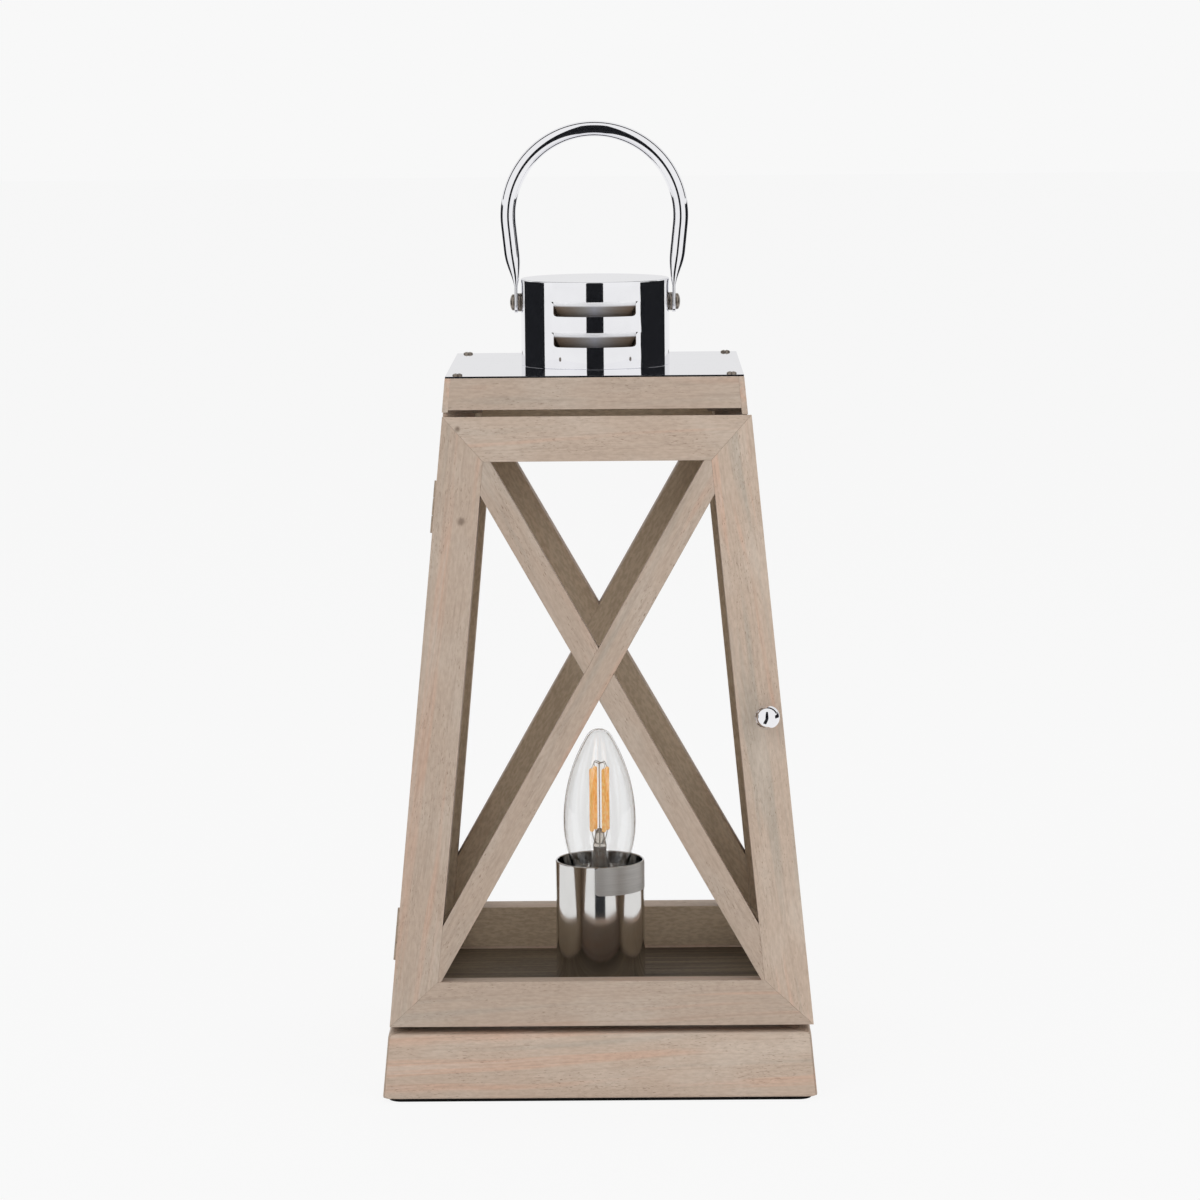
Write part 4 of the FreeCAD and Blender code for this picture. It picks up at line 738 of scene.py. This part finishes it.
def bailGrid():
    # section a (|cos|^e cos/|cos|) in the plane of the bend and b sin across it, carried along
    # tongue, crushed part, leaning leg and arc; the other half is its mirror image
    sizes = bailSizes
    lean = np.radians(sizes["lean"])
    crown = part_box("bail_handle")[1].z
    centre = crown - sizes["tube"] - sizes["bend"]
    flatX = chimneyHigh.x + sizes["gap"] + sizes["flatHalf"]
    low = pivotLevel - sizes["flatWide"]
    flatTop = pivotLevel + sizes["flatLong"]
    crushTop = flatTop + sizes["crush"]
    bendEnd = np.array([sizes["bend"] * np.cos(lean), centre - sizes["bend"] * np.sin(lean)])

    tipTurn = np.linspace(0, np.pi / 2, 14)
    tipZ = pivotLevel - sizes["flatWide"] * np.cos(tipTurn)
    flatZ = np.linspace(pivotLevel, flatTop, 8)[1:]
    crushShare = np.linspace(0, 1, 26)[1:]
    ease = np.sin(crushShare * np.pi / 2)
    crushZ = flatTop + crushShare * sizes["crush"]
    legZ = np.linspace(crushTop, bendEnd[1], 30)[1:]
    turn = np.linspace(-lean, np.pi / 2, 60)[1:]

    crushX, legX = (bendEnd[0] - (bendEnd[1] - z) * np.tan(lean) for z in (crushZ, legZ))
    x = np.concatenate([
        np.full(len(tipZ) + len(flatZ), flatX), flatX + ease * (crushX - flatX), legX,
        sizes["bend"] * np.cos(turn),
    ])
    z = np.concatenate([tipZ, flatZ, crushZ, legZ, centre + sizes["bend"] * np.sin(turn)])
    plain = len(legZ) + len(turn)
    thick = np.concatenate([
        np.full(len(tipZ) + len(flatZ), sizes["flatHalf"]),
        sizes["flatHalf"] + ease * (sizes["tube"] - sizes["flatHalf"]), np.full(plain, sizes["tube"]),
    ])
    wide = np.concatenate([
        sizes["flatWide"] * np.sin(tipTurn), np.full(len(flatZ), sizes["flatWide"]),
        sizes["flatWide"] + ease * (sizes["tube"] - sizes["flatWide"]), np.full(plain, sizes["tube"]),
    ])
    square = np.concatenate([
        np.full(len(tipZ) + len(flatZ), sizes["flatSquare"]),
        sizes["flatSquare"] + ease * (1 - sizes["flatSquare"]), np.ones(plain),
    ])
    x = np.concatenate([x, -x[-2::-1]])
    z = np.concatenate([z, z[-2::-1]])
    thick, wide, square = (np.concatenate([part, part[-2::-1]]) for part in (thick, wide, square))
    ahead = np.stack([np.gradient(x), np.gradient(z)], 1)
    ahead /= np.linalg.norm(ahead, axis=1, keepdims=True)
    angle = np.arange(56) * 2 * np.pi / 56
    swell = np.sign(np.cos(angle)) * np.abs(np.cos(angle)) ** square[:, None] * thick[:, None]
    across = np.sin(angle) * wide[:, None]
    return np.stack([x[:, None] + swell * ahead[:, 1:], across, z[:, None] - swell * ahead[:, :1]], -1)


addPiece("bail", gridMesh("bail", [bailGrid()], crease=50.0), "bail_metal", "bail", "bail_handle")


# Knob: a polished ball on a flared neck

knobSizes = {
    "ball": 0.00575, "neck": 0.0022, "neckLong": 0.0042, "flare": 0.0034, "lean": 5.49,
    "flareThick": 0.0007, "fillet": 0.0012, "filletOut": 0.0002, "underBall": 0.0005,
}
knobLow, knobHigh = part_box("door_knob")
ballCentre = np.array((knobLow + knobHigh) / 2)
ballCentre[1] = knobLow.y + knobSizes["ball"]
lean = np.radians(knobSizes["lean"])
outward = np.array([0.0, -np.cos(lean), np.sin(lean)])
reach = knobSizes["neckLong"] + knobSizes["ball"]
neckTop = -np.sqrt(knobSizes["ball"] ** 2 - knobSizes["neck"] ** 2)
flare, fillet = knobSizes["flare"], knobSizes["fillet"]
flareTop = knobSizes["flareThick"] - reach
profile = np.vstack([
    [(0.0, -reach), (flare, -reach), (flare, flareTop)],
    arc((flare + knobSizes["filletOut"], flareTop + fillet), fillet, 255, 180, 6),
    [(knobSizes["neck"], neckTop - knobSizes["underBall"])],
    arc((0.0, 0.0), knobSizes["ball"], np.degrees(np.arctan2(neckTop, knobSizes["neck"])), 90, 40),
])
profile[-1, 0] = 0.0
knob = gridMesh("knob", [turnedGrid(profile, 72, ballCentre, outward)])
addPiece("knob", knob, "bright_metal", "door", "door_knob")


# Lamp cup with its blank label

cupSizes = {"wall": 0.0010, "footRound": 0.0016, "rimRoll": 0.0007, "hole": 0.0050}
cupLow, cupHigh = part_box("lamp_cup")
radius = cupHigh.x
wall, hole, foot = (cupSizes[name] for name in ("wall", "hole", "footRound"))
rollLevel = cupHigh.z - cupSizes["rimRoll"]
inside = [
    (radius - wall, cupLow.z + 2 * wall), (radius - 2 * wall, cupLow.z + wall), (hole, cupLow.z + wall),
]
profile = np.vstack([
    [(hole, cupLow.z)], arc((radius - foot, cupLow.z + foot), foot, 270, 360, 8),
    [(radius, rollLevel)], arc((radius - wall / 2, rollLevel), wall / 2, 0, 180, 12), inside,
])
cup = gridMesh("cup", [turnedGrid(profile, 144)], closedRows=True)
addPiece("cup", cup, "cup_metal", "root", "lamp_cup")

labelSizes = {
    "first": -6.0, "last": 84.0,  # degrees round the cup from its front
    "below": 0.0004, "tall": 0.0136, "off": 0.00002, "thick": 0.00008, "corner": 0.0016,
}


def labelMesh():
    # sheet bent round the cup: (r cos a, r sin a, z), its rows drawn in by a quarter circle at the corners
    sizes = labelSizes
    rows = np.linspace(-1, 1, 25)[:, None]
    half = np.radians(sizes["last"] - sizes["first"]) / 2
    deep = np.clip(np.abs(rows) * sizes["tall"] / 2 - sizes["tall"] / 2 + sizes["corner"], 0, None)
    drawn = (sizes["corner"] - np.sqrt(sizes["corner"] ** 2 - deep ** 2)) / radius
    angle = np.radians(-90 + sizes["first"]) + half + np.linspace(-1, 1, 49)[None, :] * (half - drawn)
    level = cupHigh.z - sizes["below"] - sizes["tall"] / 2 + rows * sizes["tall"] / 2 + 0 * angle
    sides = []
    for away in (sizes["off"], sizes["thick"]):
        ring = radius + away
        sides.append(np.stack([ring * np.cos(angle), ring * np.sin(angle), level], -1))
    inner, outer = sides
    # one closed band: out along the front, back along the rear, so that its columns join into rings
    return gridMesh("label", [np.concatenate([outer, inner[:, ::-1]], 1)])


addPiece("cupLabel", labelMesh(), "label", "root")
print("metal pieces made")


# Bulb: blown envelope, pinched stem, filaments and their curled wires

bulbSizes = {
    "widest": 0.0175, "widestRise": 0.0254, "shoulderRise": 0.003, "neck": 0.0082, "wall": 0.0006,
    "lowBend": 0.055, "tipBend": 0.00686, "wire": 0.00022, "post": 0.0003,
    "strip": 0.00105, "stripRing": 0.0043, "stripTurn": 30.0, "stripDrop": 0.001,
}
stemSizes = {
    "foot": 0.0058, "narrows": 0.0032, "tipNarrows": 0.0012, "crown": 0.0006,
    "pinchAt": 0.62, "pinchLong": 0.12, "pinchWide": 0.25, "pinchThin": 0.62,  # shares of the stem
}
wireSizes = {  # the feeds leave the stem below its top, the hooks stand over the strips
    "feedDrop": 0.007, "feedRise": 0.0064, "hookDrop": 0.0004, "hookRise": 0.0034, "curlWide": 0.0009,
    "curlHigh": 0.0006, "curls": 1.1, "curlTurn": 1.2, "postDrop": 0.009, "postRise": 0.0022,
}
glassLow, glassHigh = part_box("bulb_envelope")


def envelopeProfile(wall):
    # neck, then a circle up to the widest place, a flatter one above it, and a small one round the tip;
    # R = (w^2 + h^2 - 2 h t) / (2 (w - t)) makes the upper two touch, as in the solid
    sizes = bulbSizes
    middle = glassLow.z + sizes["widestRise"]
    widest = sizes["widest"] - wall
    height = glassHigh.z - wall - middle
    tip = sizes["tipBend"] - wall
    bend = (widest ** 2 + height ** 2 - 2 * height * tip) / (2 * (widest - tip))
    join = np.degrees(np.arctan2(height - tip, bend - widest))
    low = sizes["lowBend"] - wall
    start = -np.degrees(np.arcsin((sizes["widestRise"] - sizes["shoulderRise"]) / low))
    lower = arc((widest - low, middle), low, start, 0, 22)
    upper = arc((widest - bend, middle), bend, 0, join, 30)[1:]
    crown = arc((0.0, glassHigh.z - wall - tip), tip, join, 90, 16)[1:]
    crown[-1, 0] = 0.0
    return np.vstack([[(sizes["neck"] - wall, glassLow.z)], lower, upper, crown])


profile = np.vstack([envelopeProfile(0.0), envelopeProfile(bulbSizes["wall"])[::-1]])
glass = gridMesh("bulbGlass", [turnedGrid(profile, 120)], closedRows=True)
addPiece("bulbGlass", glass, "clear_glass", "bulb", "bulb_envelope")

stemLow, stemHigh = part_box("bulb_stem")
tall = stemHigh.z - stemLow.z
rows = np.linspace(0, 1, 40)[:, None]
angle = (np.arange(40) * 2 * np.pi / 40)[None, :]
# the girth falls off quickly at the foot and once more at the tip; the pinch is a smooth bump
# exp(-((s - middle) / length)^2), where the hot glass was pressed flat round the wires
girth = stemSizes["foot"] - stemSizes["narrows"] * np.clip(rows * 1.8, 0, 1) ** 0.7
girth = girth - stemSizes["tipNarrows"] * np.clip(rows * 4 - 3, 0, 1) ** 2
pinch = np.exp(-((rows - stemSizes["pinchAt"]) / stemSizes["pinchLong"]) ** 2)
stem = np.stack([
    girth * (1 + stemSizes["pinchWide"] * pinch) * np.cos(angle),
    girth * (1 - stemSizes["pinchThin"] * pinch) * np.sin(angle), stemLow.z + tall * rows + 0 * angle,
], -1)
foot = stem[:1] * (0, 0, 1)
top = stem[-1:] * (0, 0, 1) + np.array([0, 0, stemSizes["crown"]])
stemMesh = gridMesh("bulbStem", [np.concatenate([foot, stem, top])])
addPiece("bulbStem", stemMesh, "stem_glass", "bulb", "bulb_stem")

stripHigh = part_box("bulb_filaments")[1]
ring, thick = bulbSizes["stripRing"], bulbSizes["strip"]
stripFoot = stemHigh.z - bulbSizes["stripDrop"]
strips = []
wires = []
for bearing in np.radians(bulbSizes["stripTurn"] + 90 * np.arange(4)):
    spot = np.array([ring * np.cos(bearing), ring * np.sin(bearing), 0.0])
    ends = arc((0.0, 0.0), thick, -90, 0, 5)
    strip = np.vstack([ends + (0, stripFoot + thick), (ends * (1, -1))[::-1] + (0, stripHigh.z - thick)])
    strip[[0, -1], 0] = 0.0
    strips.append(turnedGrid(strip, 20, spot))
    share = np.linspace(0, 1, 60)
    feed = np.stack([  # from the pinch out and up to the foot of the strip: out as s^0.6, up as s^2.2
        spot[0] * share ** 0.6, spot[1] * share ** 0.6,
        stemHigh.z - wireSizes["feedDrop"] + share ** 2.2 * wireSizes["feedRise"],
    ], 1)
    # a loose hook from the top of the strip back to the middle: a straight way in, with a curl beside
    # it and a bow sin(0.82 pi s) over it
    curl = np.sin(wireSizes["curls"] * 2 * np.pi * share)
    beside = wireSizes["curlWide"] * curl
    bow = wireSizes["hookRise"] * np.sin(np.pi * share * 0.82)
    hook = np.stack([
        spot[0] * (1 - share) + beside * np.cos(bearing + wireSizes["curlTurn"]),
        spot[1] * (1 - share) + beside * np.sin(bearing + wireSizes["curlTurn"]),
        stripHigh.z - wireSizes["hookDrop"] + bow + wireSizes["curlHigh"] * curl,
    ], 1)
    for path in (feed, hook):
        wires.append(tubeGrid(path, np.full(len(path), bulbSizes["wire"]), 8))
postEnds = stemHigh.z - wireSizes["postDrop"], stripHigh.z + wireSizes["postRise"]
post = np.stack([np.zeros(30), np.zeros(30), np.linspace(*postEnds, 30)], 1)
wires.append(tubeGrid(post, np.full(30, bulbSizes["post"]), 10))
addPiece("filamentStrips", gridMesh("filamentStrips", strips), "filament", "bulb", "bulb_filaments")
addPiece("filamentWires", gridMesh("filamentWires", wires), "bulb_cap", "bulb")
print("bulb made")


# Stage, lights and camera

stageLook = {
    "ground": "f8f8f8", "floorHalf": 12.0, "floorGlow": 1.008, "floorShare": 0.95,
    "dark": "0e1016", "cardFar": 1.5, "cardHigh": 0.52, "middleHigh": 2.6,
    "pathNear": 0.2, "pathLevel": 0.005, "archLevel": 0.4, "behindLow": 0.3, "behindHigh": 1.3,
    # dark cards that the polished metal mirrors: their edges as angles about the lamp, 0 at the camera
    "cards": {"cardLeft": (-140.0, -84.0), "cardMiddle": (-13.0, 13.0), "cardRight": (74.0, 136.0)},
    "archRoll": (8.0, 172.0), "archOff": (95.0, 116.0),  # round the camera's axis, and away from it
    "cardBehind": (136.0, 220.0), "behindGrey": "e8e8e9",
    "worldStrength": 0.62, "lookAt": (0.0, 0.0, 0.2),
}


def openSheet(name, corners):
    # one flat face of the stage
    mesh = bpy.data.meshes.new(name)
    mesh.from_pydata(corners, [], [tuple(range(len(corners)))])
    piece = linked(name, mesh)
    return piece


def seenDirectly(wire):
    # 1 for what the camera, a polished surface or clear glass shows, 0 for light that falls on things
    path = wire.node("ShaderNodeLightPath", out="Is Camera Ray")
    outputs = path.socket.node.outputs
    both = path + Wire(wire.tree, outputs["Is Glossy Ray"]) + Wire(wire.tree, outputs["Is Transmission Ray"])
    return both.maths("MINIMUM", both, 1.0)


half = stageLook["floorHalf"]
floor = openSheet("floor", [(-half, -half, 0), (half, -half, 0), (half, half, 0), (-half, half, 0)])
ground = bpy.data.materials.new("paleFloor")
ground.use_nodes = True
tree = ground.node_tree
tree.nodes.clear()
wire = Wire(tree)
shaded = wire.node("ShaderNodeBsdfDiffuse", None, {"Color": light(stageLook["ground"])})
glowLook = {"Color": light(stageLook["ground"]), "Strength": stageLook["floorGlow"]}
glow = wire.node("ShaderNodeEmission", None, glowLook)
share = seenDirectly(wire) * stageLook["floorShare"]
floorMix = wire.node("ShaderNodeMixShader", None, {0: share, 1: shaded, 2: glow})
output = tree.nodes.new("ShaderNodeOutputMaterial")
tree.links.new(floorMix.socket, output.inputs["Surface"])
floor.data.materials.append(ground)

dark = bpy.data.materials.new("darkCard")
dark.use_nodes = True
dark.node_tree.nodes["Principled BSDF"].inputs["Base Color"].default_value = light(stageLook["dark"])
dark.node_tree.nodes["Principled BSDF"].inputs["Roughness"].default_value = 1.0
grey = bpy.data.materials.new("greyCard")
grey.use_nodes = True
shader = grey.node_tree.nodes["Principled BSDF"]
shader.inputs["Base Color"].default_value = light("000000")
shader.inputs["Specular IOR Level"].default_value = 0.0
shader.inputs["Emission Color"].default_value = light(stageLook["behindGrey"])
shader.inputs["Emission Strength"].default_value = 1.0


def band(limits, nearEdge, farEdge):
    # upright or flat strip between two (distance, level) edges: (d sin u, -d cos u, level)
    angle = np.radians(np.linspace(*limits, 24))
    return [np.stack([far * np.sin(angle), -far * np.cos(angle), level + 0 * angle], 1)
            for far, level in (nearEdge, farEdge)]


def arch(roll, off, far, height):
    # strip over the lamp: d (sin v cos w, -cos v, sin v sin w), w along it and v from the camera's axis
    along = np.radians(np.linspace(*roll, 40))
    return [far * np.stack([np.sin(v) * np.cos(along), -np.cos(v) + 0 * along,
                            np.sin(v) * np.sin(along)], 1) + (0, 0, height) for v in np.radians(off)]


def mirroredCard(name, rows, material):
    # only polished pieces show it
    count = len(rows[0])
    first = np.arange(count - 1)
    mesh = bpy.data.meshes.new(name)
    quads = np.stack([first, first + 1, first + count + 1, first + count], 1)
    mesh.from_pydata(np.vstack(rows).tolist(), [], quads.tolist())
    card = linked(name, mesh)
    card.data.materials.append(material)
    for ray in ("camera", "diffuse", "transmission", "shadow", "volume_scatter"):
        setattr(card, "visible_" + ray, False)


far = stageLook["cardFar"]
for name, limits in stageLook["cards"].items():
    tall = stageLook["middleHigh"] if name == "cardMiddle" else stageLook["cardHigh"]
    mirroredCard(name, band(limits, (far, 0.0), (far, tall)), dark)
near, level = stageLook["pathNear"], stageLook["pathLevel"]
path = band(stageLook["cards"]["cardMiddle"], (near, level), (far, level))
mirroredCard("cardPath", path, dark)
overhead = arch(stageLook["archRoll"], stageLook["archOff"], far, stageLook["archLevel"])
mirroredCard("cardArch", overhead, dark)
behind = band(stageLook["cardBehind"], (far, stageLook["behindLow"]), (far, stageLook["behindHigh"]))
mirroredCard("cardBehind", behind, grey)

world = bpy.data.worlds.new("studio")
bpy.context.scene.world = world
world.use_nodes = True
tree = world.node_tree
tree.nodes.clear()
wire = Wire(tree)
seen = seenDirectly(wire)
softLook = {"Color": light("ffffff"), "Strength": stageLook["worldStrength"]}
soft = wire.node("ShaderNodeBackground", None, softLook)
plain = wire.node("ShaderNodeBackground", None, {"Color": light(stageLook["ground"]), "Strength": 1.0})
both = wire.node("ShaderNodeMixShader", None, {0: seen, 1: soft, 2: plain})
output = tree.nodes.new("ShaderNodeOutputWorld")
tree.links.new(both.socket, output.inputs["Surface"])

lamps = {  # place, size and power; each is aimed at the middle of the lantern
    "keyLight": ((-1.1, -1.9, 1.7), 1.4, 16.0),
    "fillLight": ((1.5, -1.5, 1.1), 1.4, 9.0),
    "topLight": ((0.1, 0.2, 2.2), 1.2, 10.0),
}
middle = Vector(stageLook["lookAt"])
for name, (place, size, power) in lamps.items():
    lamp = bpy.data.lights.new(name, "AREA")
    lamp.size = size
    lamp.energy = power
    holder = linked(name, lamp)
    holder.visible_glossy = False
    holder.location = place
    holder.rotation_euler = (middle - Vector(place)).to_track_quat("-Z", "Y").to_euler()

cameraSizes = {  # fitted to about sixty edges of the photograph
    "place": (0.01727, -1.90339, 0.4867), "lens": 120.95, "sensor": 36.0,
    "pitch": 0.1397, "yaw": -0.0085, "roll": -0.0087,
}
pitch, yaw, roll = (cameraSizes[name] for name in ("pitch", "yaw", "roll"))
ahead = Vector((np.sin(yaw) * np.cos(pitch), np.cos(yaw) * np.cos(pitch), -np.sin(pitch)))
level = Vector((np.cos(yaw), -np.sin(yaw), 0.0))
above = level.cross(ahead)
right = np.cos(roll) * level + np.sin(roll) * above
up = -np.sin(roll) * level + np.cos(roll) * above
camera = bpy.data.cameras.new("photoCamera")
camera.lens = cameraSizes["lens"]
camera.sensor_width = cameraSizes["sensor"]
holder = linked("photoCamera", camera)
turn = Matrix((right, up, -ahead)).transposed().to_4x4()
holder.matrix_world = Matrix.Translation(cameraSizes["place"]) @ turn
bpy.context.scene.camera = holder
bpy.context.scene.view_settings.view_transform = "Standard"
print("stage set")
